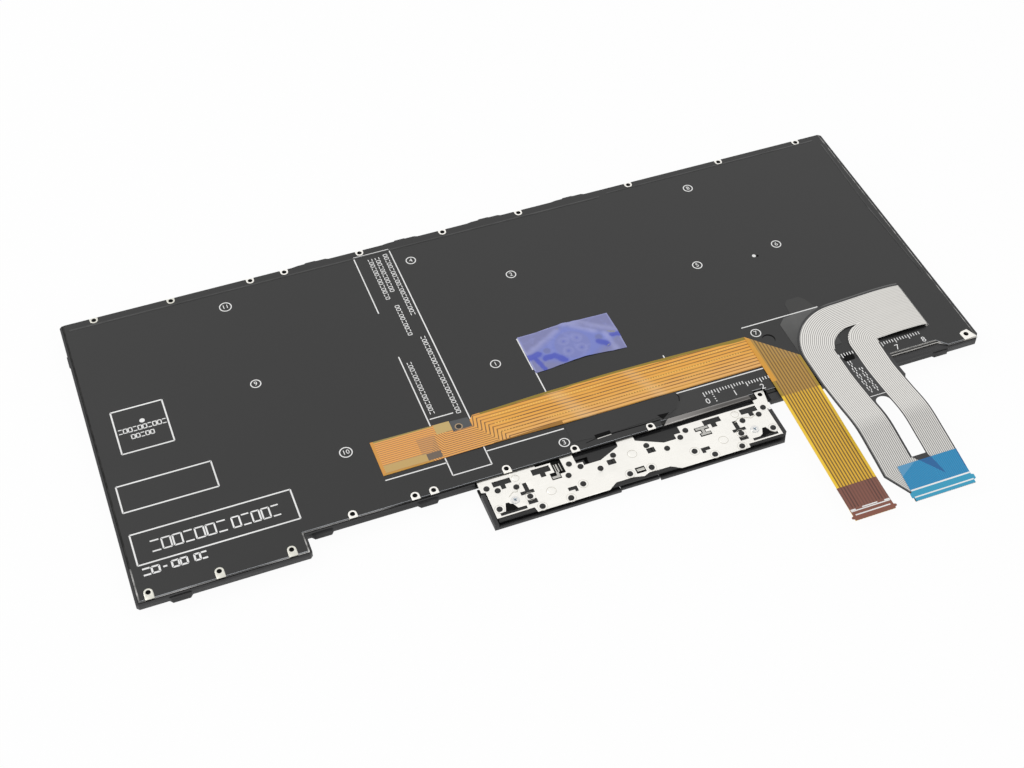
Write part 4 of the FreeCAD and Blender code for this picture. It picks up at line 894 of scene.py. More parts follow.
# What shows in the blue film: rings over the sensor's pads, dimples, creases, dark blotches and bright edges
RINGS = ((-33.3, 37.1), (-28.6, 37.1), (-33.3, 32.6), (-28.6, 32.6))
DIMPLES = ((-40.0, 35.1), (-21.5, 35.0))
CREASES = (((-46.5, 36.0), (-40.0, 39.0)), ((-40.0, 39.0), (-34.0, 42.5)), ((-31.0, 45.0), (-25.0, 42.6)),
           ((-26.5, 44.8), (-20.0, 39.8)), ((-20.0, 39.8), (-14.6, 36.4)), ((-28.0, 43.0), (-22.0, 38.0)),
           ((-19.0, 36.0), (-18.0, 28.5)))
BLOTCHES = (((-46.6, 34.3), (-43.2, 34.5), 1.5), ((-44.6, 33.0), (-43.4, 28.2), 0.95),
            ((-41.6, 32.2), (-38.6, 32.4), 1.35), ((-38.6, 32.4), (-35.8, 29.6), 1.4),
            ((-22.3, 33.2), (-20.2, 31.4), 1.4), ((-17.0, 34.6), (-14.6, 34.4), 1.1))
BRIGHT_EDGES = (((-47.0, 44.3), (-46.9, 28.6), 1.0, 0.5), ((-47.0, 44.4), (-36.0, 44.8), 0.8, 0.6),
                ((-14.6, 44.4), (-14.5, 28.0), 0.5, 0.5), ((-36.0, 44.9), (-14.6, 44.5), 0.5, 0.5))


def kite(x, y):
    """How far under the blue film the sensor's kite-shaped plate carries it, from 0 to 1."""
    away = abs(x + 30.7) / 15.5 + (max(0.0, y - 34.0) / 10.0 if y > 34 else (34.0 - y) / 8.0)
    return max(0.0, min(1.0, (1.2 - away) / 0.35))


def crumpled(x, y):
    """Height of the blue film over its flat outline."""
    height = 0.16 * kite(x, y) * max(0.0, min(1.0, (y - 28.2) / 3.0))
    for a, b in CREASES:
        height += 0.14 * hill(reach((x, y), a, b), 1.5)
    for ring_x, ring_y in RINGS:
        away = math.hypot(x - ring_x, y - ring_y)
        height += 0.07 * hill(abs(away - 1.5), 0.5) - 0.05 * hill(away, 0.9)
    for dimple_x, dimple_y in DIMPLES:
        height -= 0.07 * hill(max(0.0, math.hypot(x - dimple_x, y - dimple_y) - 1.0), 0.6)
    clinging = 0.2 * (1 - kite(x, y)) * min(1.0, abs(y - 28.0) / 2.0)
    waves = 0.06 * noise.noise(Vector((x * 0.35, y * 0.35, 2.0)))
    return height - clinging - 0.16 * hill(y - 27.5, 3.0) + waves


def bare(x, y):
    """How little of the sensor stands under the blue film, from 0 to 1."""
    return max(1.0 - kite(x, y), 0.4 * hill(max(0.0, math.hypot(x + 31.0, y - 34.9) - 5.6), 0.7))


def pale(x, y):
    """How much light the blue film's creases, rings and edges catch, from 0 to 1."""
    creases = [(0.42 + 0.3 * noise.noise(Vector((x * 0.3, y * 0.3, 7)))) * hill(reach((x, y), a, b), 1.9)
               for a, b in CREASES]
    rings = [0.17 * hill(abs(math.hypot(x - u, y - v) - 1.5), 0.8) for u, v in RINGS]
    edges = [share * hill(reach((x, y), a, b), width) for a, b, share, width in BRIGHT_EDGES]
    return max(creases + rings + edges)


def dimpled(x, y):
    """How deep in one of its two dimples the blue film is, from 0 to 1."""
    return max(0.8 * hill(max(0.0, math.hypot(x - u, y - v) - 0.9), 0.7) for u, v in DIMPLES)


def blotched(x, y):
    """How dark the blue film is where it clings to what lies under it, from 0 to 1."""
    place = [co + 0.45 * noise.noise(Vector((x * 0.45, y * 0.45, layer))) for co, layer in ((x, 4), (y, 9))]
    spots = [0.5 * hill(math.hypot(x - u, y - v), 0.75) for u, v in RINGS]
    return max([min(0.85, 1.7 * hill(reach(place, a, b), width * 1.25)) for a, b, width in BLOTCHES] + spots)


class KEYBOARD_OT_sensor(bpy.types.Operator):
    """Lay the crumpled blue film over the stick sensor"""

    bl_idname = "keyboard.sensor"
    bl_label = "Sensor and Blue Film"

    def execute(self, context):
        s = settings()
        dress("stick_sensor", sheet_metal("sensor_metal", (0.3, 0.3, 0.32), 0.4))
        material, graph, shader = new_material("blue_film", s.blue_colour, 0.2)
        haze = graph.cloud(graph.places(), 0.3, 3.0, 0.6)
        colour = graph.ramp(
            (*s.blue_colour, 1),
            (graph.painted("bare"), (0.225, 0.235, 0.46)),
            (graph.spread(haze, 0.5, 0.7, 0.0, 0.4), (0.3, 0.33, 0.7)),
            (graph.painted("pale"), (0.42, 0.44, 0.78)),
            (graph.painted("dimple"), (0.17, 0.19, 0.42)),
            (graph.painted("blotch"), (0.06, 0.085, 0.52)))
        graph.put(shader.inputs["Base Color"], colour)
        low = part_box("sensor_film")[0].z / MM
        bm = bmesh.new()
        fill(bm, [[(-47.0, 44.3), (-40.0, 44.4), (-35.0, 44.9), (-30.0, 45.2), (-25.0, 44.8), (-14.6, 44.5),
                   (-14.3, 36.0), (-14.5, 27.7), (-19.0, 27.9), (-24.0, 28.5), (-29.0, 28.8), (-35.0, 28.4),
                   (-42.0, 27.7), (-46.9, 27.5)]], low)
        score(bm, 0.4, 0.4)
        lift(bm, crumpled)
        for name, value in (("bare", bare), ("blotch", blotched), ("pale", pale), ("dimple", dimpled)):
            paint(bm, name, value)
        thicken(bm, list(bm.faces), 0.08)
        piece("sensor_film_sheet", bm, material, replaces=("sensor_film",), smooth=60)
        return {"FINISHED"}


class KEYBOARD_OT_tapes(bpy.types.Operator):
    """Dress the tapes on the film"""

    bl_idname = "keyboard.tapes"
    bl_label = "Tapes"

    def execute(self, context):
        dress("cover_tape", moulded("black_tape", (0.012, 0.012, 0.012), 0.35, 0.8, 0.01))
        material, graph, shader = new_material("clear_tape", (0.033, 0.033, 0.032), 0.36)
        x, y, _ = graph.split(graph.places())
        # Painted sheen: the clear tape is painted lighter towards its far edge, broken up by a random cloud.
        haze = graph.cloud(graph.places((0.2, 0.2, 1)), 1.0, 3.0, 0.6)
        lighter_patch = graph.all(graph.spread(y, 4.0, 21.0), graph.under(y, 22.1), graph.spread(haze, 0.3, 0.7, 0.75, 1.0))
        graph.put(shader.inputs["Base Color"], graph.mix(lighter_patch, (0.026, 0.026, 0.025, 1), (0.105, 0.105, 0.103, 1)))
        dress("tail_tape", material)
        dark = hollow()
        # Painted shade: near-black pieces for the dark of the slot in the tape, shadow lines along the tape's edges
        # and round its right end, and a dark triangle at the tape's end.
        bm = bmesh.new()
        slab(bm, -39.4, -34.1, -4.55, -3.1, FILM_TOP, FILM_TOP + TAPE + 0.012, 1.5)
        line(bm, (-34.5, -4.5), (-17.4, -4.65), 0.3, FILM_TOP, 0.05)
        line(bm, (-43.0, -5.2), (-39.0, -4.5), 0.16, FILM_TOP, 0.05)
        for start, end in (((-8.0, 3.3), (-7.6, 2.2)), ((-7.6, 2.2), (-8.3, 0.4))):
            line(bm, start, end, 0.26, FILM_TOP, 0.05)
        fill(bm, [[(-17.5, -2.6), (-13.4, -2.9), (-16.3, -4.7)]], FILM_TOP + TAPE + 0.02)
        piece("tape_slot_shadows", bm, dark, smooth=None)
        bm = bmesh.new()
        line(bm, (-39.0, -4.9), (-34.2, -4.7), 0.3, FILM_TOP, 0.07)
        line(bm, (65.4, -5.0), (85.2, -5.0), 0.3, FILM_TOP - 0.3, 0.12)
        line(bm, (65.4, -6.2), (84.6, -6.2), 0.2, FILM_TOP - 0.3, 0.12)
        line(bm, (85.2, -5.0), (87.2, -8.2), 0.25, FILM_TOP - 0.3, 0.12)
        piece("slot_edge", bm, sheet_metal("strip_edge", (0.6, 0.59, 0.56), 0.35), smooth=None)
        return {"FINISHED"}


def hook_distance(graph, x, y, corner_x, corner_y):
    """Distance from a line that comes from the right and turns down at a corner."""
    across = graph.sums("MAXIMUM", graph.sums("SUBTRACT", corner_x, x), 0.0)
    up = graph.sums("MAXIMUM", graph.sums("SUBTRACT", y, corner_y), 0.0)
    return graph.sums("SQRT", graph.sums("ADD", graph.sums("MULTIPLY", across, across),
                                         graph.sums("MULTIPLY", up, up)))


def silver_graph(name, roughness):
    """A material with the masks of the silver tail: its tracks, its dark margins and the wedge at its end."""
    material, graph, shader = new_material(name, settings().silver_colour, roughness)
    x, y, _ = graph.split(graph.places())
    fan = graph.spread(y, -49.7, -57.7, 0.0, 5.4)
    left_x = graph.sums("SUBTRACT", x, fan)
    outer = hook_distance(graph, left_x, y, 58.0, TAIL_NEAR)
    inner = hook_distance(graph, x, y, TAIL_RIGHT, TAIL_NEAR)
    inside = graph.any(graph.under(inner, 8.7), graph.all(graph.over(x, 54.4), graph.under(y, 3.0)))
    distance = graph.sums("ADD", graph.all(inner, inside), graph.all(outer, graph.opposite(inside)))
    tracks = graph.group(tracks_effect(), Distance=distance, Pitch=0.66, Width=0.6)["Mask"]
    strand = graph.under(y, TAIL_NEAR + 1)
    margin = graph.any(
        graph.over(outer, graph.spread(x, 44.0, 56.0, 19.65, 19.2)),
        graph.all(strand, graph.over(x, 48.9), graph.under(x, 54.9), graph.over(y, -46.4)),
        graph.all(strand, graph.under(y, 0.0), graph.over(x, 64.0)),
        graph.all(graph.under(y, -46.0),
                  graph.over(x, graph.sums("MULTIPLY_ADD", y, -0.9, 49.4 - 46.2 * 0.9)),
                  graph.under(x, graph.sums("MULTIPLY_ADD", y, -0.27, 54.8 - 46.2 * 0.27))))
    calm = graph.all(graph.spread(x, 58.0, 74.0, 0.0, 0.85), graph.over(y, 1.0))
    return material, graph, shader, (x, y, tracks, margin, calm)


def silver_material():
    """Silver tracks on smoky film that run round the bend and down both strands."""
    s = settings()
    material, graph, shader, (x, y, tracks, margin, calm) = silver_graph("silver_film", 0.34)
    # Painted shade: past the arch's crest, from y -27 to -34, the tail is painted darker between its tracks and over
    # them, as its far slope turns from the light.
    past = graph.spread(y, -27.0, -34.0, smooth=True)
    between = graph.mix(calm, graph.mix(past, (0.36, 0.35, 0.335, 1), (0.2, 0.195, 0.19, 1)), (0.62, 0.6, 0.56, 1))
    bright = graph.mix(calm, (*s.silver_colour, 1), toned(s.silver_colour, 0.83))
    silver = graph.mix(tracks, between, bright)
    brush = graph.cloud(graph.places((0.05, 1.4, 1)), 1.0, 3.0, 0.6)
    tone = graph.all(calm, graph.spread(brush, 0.35, 0.6))
    silver = graph.ramp(silver, (graph.all(tone, 0.35), (0.8, 0.78, 0.74)),
                        (graph.all(past, 0.22), (0.3, 0.295, 0.28)))
    silver = graph.mix(margin, silver, (0.028, 0.028, 0.029, 1))
    rim = graph.all(graph.over(y, TAIL_NEAR + 19.85), graph.over(x, 50.0))
    graph.put(shader.inputs["Base Color"], graph.mix(rim, silver, (0.11, 0.11, 0.108, 1)))
    bump(graph, shader, graph.all(tracks, graph.opposite(margin)), 0.2, 0.015)
    return material


def blue_material():
    """Blue stiffener through which the tracks and the wedge show."""
    material, graph, shader, (x, y, tracks, margin, calm) = silver_graph("blue_stiffener", 0.3)
    base = graph.mix(tracks, (0.012, 0.21, 0.44, 1), (0.02, 0.29, 0.56, 1))
    end = graph.under(y, -56.8)
    colour = graph.ramp(base, (graph.all(margin, graph.over(y, -54.5)), (0.01, 0.125, 0.34)),
                        (graph.all(end, 0.75), (0.04, 0.39, 0.58)))
    light = graph.under(graph.sums("ADD", x, graph.sums("MULTIPLY", graph.sums("ADD", y, 48.0), -1.7)), 49.5)
    colour = graph.mix(graph.all(light, graph.over(y, -51.5), 0.45), colour, (0.2, 0.42, 0.62, 1))
    graph.put(shader.inputs["Base Color"], colour)
    bump(graph, shader, tracks, 0.12, 0.01)
    return material


def end_cover(line_heights, lift_by, left, right, ears):
    """A stiffener on a tail's end, with an ear at each side."""
    near, far = -TAIL_END, -STIFFENER_START
    low, high = ears
    bm = bmesh.new()
    faces = fill(bm, [[(left, near), (right, near), (right, low), (right + 0.8, low + 0.3),
                       (right + 0.8, high - 0.3), (right, high), (right, far), (left, far), (left, high),
                       (left - 0.8, high - 0.3), (left - 0.8, low + 0.3), (left, low)]], lift_by)
    score(bm, 0, 1.0)
    lift(bm, line_heights)
    thicken(bm, list(bm.faces), STIFFENER)
    soften(bm, 0.05, 1, 60)
    return bm


class KEYBOARD_OT_silver_tail(bpy.types.Operator):
    """Bend the silver tail from its slot to its end, with its stiffener"""

    bl_idname = "keyboard.silver_tail"
    bl_label = "Silver Tail"

    def execute(self, context):
        silver = silver_material()
        bm = node_mesh("membrane_circuit")
        sheet_low = min(v.co.z for v in bm.verts if scale_place(v.co).y > 30) / MM
        sheet_high = max(v.co.z for v in bm.verts if scale_place(v.co).y > 30) / MM
        bmesh.ops.delete(bm, geom=[f for f in bm.faces if f.normal.z > -0.9 or
                                   abs(f.calc_center_median().z / MM - sheet_low) > 0.01], context="FACES")
        bmesh.ops.delete(bm, geom=[v for v in bm.verts if not v.link_faces], context="VERTS")
        thicken(bm, list(bm.faces), sheet_high - sheet_low)
        piece("membrane_sheet", bm, silver, replaces=("membrane_circuit",), smooth=None)

        bm = bmesh.new()
        outline = [(TAIL_SLOT, TAIL_NEAR), (TAIL_SLOT, TAIL_FAR)] + arc(58, TAIL_NEAR, 20.3, 90, 180, 24) + [
            (TAIL_LEFT, -49.9), (43.2, -57.8), (43.2, -TAIL_END), (TAIL_RIGHT, -TAIL_END), (TAIL_RIGHT, -16.8),
            (TAIL_RIGHT + 0.9, -15.4), (TAIL_RIGHT + 0.9, -5.4), (TAIL_RIGHT, -4.6), (TAIL_RIGHT, TAIL_NEAR)]
        crescent = arc(59.5, -0.5, 10.6, 196.4, 78.6, 18) + arc(63, 2, 8, 100.1, 180, 12)[1:] + [(55, -3.5)]
        slot = [(49.6, -46.2)] + arc(52.1, -24.0, 2.5, 180, 0, 10) + [(54.6, -46.2)]
        fill(bm, [outline, crescent, slot], TAIL_LOW)
        score(bm, 1.4, 1.1)
        lift(bm, arched)
        thicken(bm, list(bm.faces), TAIL)
        slab(bm, TAIL_SLOT - TAIL, TAIL_SLOT, TAIL_NEAR, TAIL_FAR, sheet_high - 0.02, TAIL_LOW + 0.77)
        piece("silver_tail", bm, silver, replaces=("membrane_circuit",), smooth=50)

        marks = bmesh.new()
        for x, y, to_y, seed in ((50.9, -19.0, -4.2, 1.0), (53.1, -19.0, -7.4, 2.0)):
            count = 0
            while y < to_y:
                length = 0.45 + 0.5 * abs(math.sin(count * 2.1 + seed))
                for side in (-0.45, 0.45) if count % 3 else (0.0,):
                    line(marks, (x + side, y), (x + side, y + length), 0.3, TAIL_LOW + TAIL, 0.012)
                y += length + 0.3
                count += 1
        line(marks, (49.2, -20.6), (54.8, -20.6), 0.25, TAIL_LOW + TAIL, 0.012)
        lift(marks, arched)
        piece("tail_marks", marks, white_ink(), smooth=None)

        bm = end_cover(arched, TAIL_LOW + TAIL, 43.4, TAIL_RIGHT, (-59.4, -57.4))
        piece("tail_stiffener_sheet", bm, blue_material(), replaces=("tail_stiffener",))
        bm = bmesh.new()
        for y, width in ((-56.8, 0.5), (-59.2, 0.42)):
            line(bm, (43.5, y), (TAIL_RIGHT - 0.1, y), width, TAIL_LOW + TAIL + STIFFENER, 0.02)
        lift(bm, arched)
        piece("tail_lines", bm, white_ink(), smooth=None)
        return {"FINISHED"}


def inside_box(graph, x, y, start, stop, near, far):
    """1 inside a box of the plan and 0 outside."""
    return graph.all(graph.over(x, start), graph.under(x, stop), graph.over(y, near), graph.under(y, far))


def orange_band_material():
    """Copper tracks under an amber film, from the flex's left end to its fold."""
    s = settings()
    material, graph, shader = new_material("orange_film", s.orange_colour, 0.26)
    x, y, _ = graph.split(graph.places())
    first = graph.sums("ADD", x, graph.sums("MULTIPLY_ADD", y, -0.49, 8.8))
    second = graph.sums("ADD", x, graph.sums("MULTIPLY_ADD", y, 0.7, -11.2))
    leg = graph.sums("SUBTRACT", graph.spread(first, -84.6, -80.6, 0.0, -3.8),
                     graph.spread(second, -75.0, -71.5, 0.0, -3.8))
    level = graph.sums("SUBTRACT", y, leg)
    wide = graph.over(second, -75.3)
    fine = graph.group(tracks_effect(), Distance=level, Pitch=0.8, Width=0.64)["Mask"]
    coarse = graph.group(tracks_effect(), Distance=level, Pitch=1.3, Width=0.7)["Mask"]
    tracks = graph.sums("ADD", graph.all(fine, graph.opposite(wide)), graph.all(coarse, wide))
    right = graph.spread(x, -76.0, -62.0)
    copper = graph.mix(right, (*s.orange_colour, 1), (0.9, 0.42, 0.06, 1))
    # Painted highlight: on the band's right part the tracks are painted lighter and pinker towards its near edge.
    copper = graph.mix(graph.all(right, graph.spread(y, 12.0, 5.0, 0.0, 0.6)), copper, (0.86, 0.5, 0.2, 1))
    gap = graph.mix(right, (0.47, 0.19, 0.08, 1), (0.42, 0.17, 0.016, 1))
    bend = graph.any(graph.all(graph.over(first, -84.6), graph.under(second, -75.0), 0.45),
                     graph.all(graph.over(second, -75.5), graph.under(second, -71.2), 0.85))
    gap = graph.mix(bend, gap, (0.09, 0.055, 0.04, 1))
    streak = graph.cloud(graph.places((0.02, 1.3, 1)), 1.0, 2.0)
    gap = graph.mix(graph.all(right, graph.spread(streak, 0.42, 0.58, 0.2, 0.85)), gap, (0.17, 0.075, 0.016, 1))
    colour = graph.mix(tracks, gap, copper)
    haze = graph.cloud(graph.places((0.05, 0.3, 1)), 1.0, 2.0)
    colour = graph.mix(graph.all(right, graph.spread(haze, 0.45, 0.65, 0.0, 0.45)), colour, (0.92, 0.47, 0.07, 1))
    dash = graph.under(graph.sums("FRACT", graph.sums("ADD", graph.sums("DIVIDE", x, 0.95),
                                                      graph.sums("MULTIPLY", haze, 4.0))), 0.45)
    rows = graph.any(*[inside_box(graph, x, y, -67.0, 20.0, row - 0.28, row + 0.28) for row in (8.6, 12.2, 15.6)])
    colour = graph.ramp(colour, (graph.all(rows, dash, graph.spread(haze, 0.42, 0.52), 0.75), (1.0, 0.6, 0.13)))
    top = graph.sums("SUBTRACT", 18.15, graph.all(graph.sums("POWER", graph.sums("ABSOLUTE", graph.sums(
        "ADD", x, 24.0)), 2.0), 0.00048))
    wander = graph.cloud(graph.places((0.07, 0.0, 1)), 1.0, 1.0)
    olive = graph.sums("MULTIPLY", graph.sums("SUBTRACT", wander, 0.5), 2.2)
    shine = graph.any(graph.spread(graph.sums("ABSOLUTE", graph.sums("ADD", graph.sums(
        "MULTIPLY_ADD", y, 0.5, 36.0), x)), 0.0, 5.0, 0.2, 0.0, smooth=True),
        graph.spread(graph.sums("ABSOLUTE", graph.sums("ADD", graph.sums(
            "MULTIPLY_ADD", y, 0.5, 10.0), x)), 0.0, 4.0, 0.18, 0.0, smooth=True))
    colour = graph.ramp(
        colour,
        (shine, (0.86, 0.66, 0.42)),
        (graph.all(graph.over(x, -70.0), graph.over(graph.sums("ADD", y, olive), top)), (0.3, 0.205, 0.012)),
        (graph.all(graph.over(x, -70.0), graph.under(x, -46.7), graph.under(
            graph.sums("SUBTRACT", y, graph.spread(x, -70.0, -46.7, 0.0, 0.95)), 4.95)), (0.36, 0.16, 0.015)),
        (inside_box(graph, x, y, -105.2, -91.3, 5.3, 8.3), (0.6, 0.4, 0.14)),
        (inside_box(graph, x, y, -91.3, -86.6, 5.3, 8.0), (0.16, 0.12, 0.09)),
        (graph.all(inside_box(graph, x, y, -92.5, -86.6, 8.0, 14.5), 0.3), (0.2, 0.15, 0.12)),
        (inside_box(graph, x, y, -85.6, -80.3, 14.3, 19.0), (0.6, 0.43, 0.16)),
        (inside_box(graph, x, y, -105.3, -86.0, 17.8, 19.0), (0.36, 0.27, 0.08)),
        (graph.under(x, -105.3), (0.72, 0.33, 0.06)),
        (inside_box(graph, x, y, -106.0, -90.0, 4.0, 5.2), (0.6, 0.31, 0.05)))
    graph.put(shader.inputs["Base Color"], colour)
    bump(graph, shader, tracks, 0.15, 0.012)
    return material


def orange_tail_material(name, stiffened=False):
    """The flex's other side, yellow over the pale floor and brown over the black film, or its stiffener."""
    material, graph, shader = new_material(name, (0.5, 0.3, 0.045), 0.3)
    x, y, _ = graph.split(graph.places())
    across = graph.sums("ADD", x, graph.sums("MULTIPLY_ADD", y, -0.0185, 0.081))
    tracks = graph.group(tracks_effect(), Distance=graph.sums("SUBTRACT", across, 24.15), Pitch=1.04,
                         Width=0.58)["Mask"]
    if stiffened:
        pair = graph.any(graph.all(graph.over(across, 24.6), graph.under(across, 27.2)),
                         graph.all(graph.over(across, 33.0), graph.under(across, 35.8)))
        dark = graph.all(graph.opposite(tracks), graph.spread(y, -56.3, -56.0),
                         graph.spread(pair, 0.0, 1.0, 0.45, 0.9))
        colour = graph.ramp((0.225, 0.082, 0.055, 1), (dark, (0.08, 0.026, 0.018)),
                            (graph.spread(y, -57.2, -58.4, 0.0, 0.5), (0.26, 0.08, 0.045)))
    else:
        margin = graph.any(graph.under(across, 24.35), graph.over(across, 36.55))
        over_dark = graph.spread(y, -9.9, -9.4)
        gold = graph.mix(over_dark, (0.8, 0.46, 0.03, 1), (0.5, 0.28, 0.05, 1))
        dark = graph.mix(over_dark, (0.19, 0.1, 0.006, 1), (0.21, 0.11, 0.016, 1))
        edge = graph.mix(over_dark, (0.95, 0.62, 0.035, 1), (0.4, 0.25, 0.015, 1))
        colour = graph.ramp(graph.mix(tracks, dark, gold), (margin, edge),
                            (inside_box(graph, x, y, 20.0, 25.0, -3.0, 20.0), (0.74, 0.35, 0.035)))
    graph.put(shader.inputs["Base Color"], colour)
    bump(graph, shader, tracks, 0.15, 0.012)
    return material


PATCH_HOLE = (-78.0, 15.1)


def waved(x, y):
    """Slow waves of the flex where nothing holds it down."""
    if not -100 < x < 10:
        return 0.0
    return 0.14 * math.sin(math.pi * (x + 100) / 110) * (1 - math.cos((x + 0.5 * y) / 4.6)) / 2


class KEYBOARD_OT_orange_flex(bpy.types.Operator):
    """Lay the orange flex, fold it towards the near edge and end it in its stiffener"""

    bl_idname = "keyboard.orange_flex"
    bl_label = "Orange Flex"

    def execute(self, context):
        bm = bmesh.new()
        fill(bm, [[(-106.3, 4.5), (-61, 4.8), (-47, 4.4), (37.4, 4.4), (23.6, 18.2), (-10, 19.1), (-27, 19.2),
                   (-45, 18.9), (-72.5, 18.0), (-73.9, 16.3), (-73.9, 13.7), (-80.3, 13.6), (-80.3, 18.2),
                   (-106.3, 18.5)]], FILM_TOP)
        score(bm, 2.3, 2.3)
        lift(bm, waved)
        thicken(bm, list(bm.faces), FLEX)
        piece("flex_band", bm, orange_band_material(), replaces=("pointing_flex",), smooth=50)

        bm = bmesh.new()
        fill(bm, [[(23.6, 18.2), (23.4, 4.4), (22.3, -TAIL_END), (36.1, -TAIL_END), (37.4, 4.4)]], FLEX_LEVEL)
        score(bm, 0, 1.5)
        lift(bm, sunk)
        thicken(bm, list(bm.faces), FLEX)
        fold = [e for e in bm.edges if abs(sum(scale_place(v.co).x + scale_place(v.co).y for v in e.verts) / 2
                                           - 41.8) < 0.05 and e.calc_face_angle(0) > 0.5]
        soften(bm, 0.07, 2, 30, fold)
        piece("flex_tail", bm, orange_tail_material("orange_tail_film"),
              replaces=("pointing_flex",), smooth=50)

        bm = bmesh.new()
        fill(bm, [[(-80.3, 13.6), (-73.9, 13.7), (-73.9, 16.3), (-74.2, 17.8), (-80.3, 18.1)],
                  opening(*PATCH_HOLE, 0.85)], FILM_TOP + 0.02)
        thicken(bm, list(bm.faces), 0.05)
        piece("flex_patch", bm, moulded("smoky_patch", (0.075, 0.08, 0.085), 0.25, 0.8, 0.005),
              smooth=None)
        bm = bmesh.new()
        ring(bm, *PATCH_HOLE, FILM_TOP + 0.07, 1.3, 0.4, 0.02)
        piece("flex_ring", bm, moulded("ring_amber", (0.42, 0.3, 0.18), 0.3), smooth=None)

        bm = end_cover(sunk, FLEX_LEVEL + FLEX, 22.35, 36.2, (-60.0, -58.8))
        piece("flex_stiffener_sheet", bm, orange_tail_material("brown_stiffener", True),
              replaces=("flex_stiffener",))
        bm = bmesh.new()
        z = FLEX_LEVEL + FLEX + STIFFENER
        for start, end, width in (((22.5, -57.2), (36.0, -57.2), 0.38), ((22.5, -56.8), (24.2, -56.8), 0.6),
                                  ((34.2, -56.8), (36.0, -56.8), 0.6), ((26.6, -56.6), (31.8, -56.6), 0.4),
                                  ((23.2, -58.65), (35.2, -58.65), 0.42)):
            line(bm, start, end, width, z, 0.02)
        lift(bm, sunk)
        piece("flex_lines", bm, white_ink(), smooth=None)
        return {"FINISHED"}


POSTS_LEFT = ((2.3, 13.75), (5.25, 11.9), (11.1, 11.25), (13.8, 6.45), (3.3, 5.1), (29.6, 13.9), (32.6, 11.75),
              (27.8, 9.8), (30.75, 5.2), (15.9, 1.6), (25.25, 1.5), (38.1, 8.9), (43.8, 12.3), (45.8, 3.7))
POSTS_RIGHT = ((44.0, 12.2), (38.35, 8.9), (46.0, 3.7), (32.6, 11.5), (29.9, 13.5), (30.8, 4.8), (25.3, 1.5),
               (15.9, 1.5), (13.85, 6.2), (11.15, 10.8), (5.1, 11.4), (2.5, 13.5), (3.35, 4.8))
DIES = ((-60.0, -18.3, 1.4), (-31.0, -13.7, 1.4), (-1.8, -18.6, 1.4), (-68.6, -9.8, 1.15), (6.2, -10.4, 1.15))


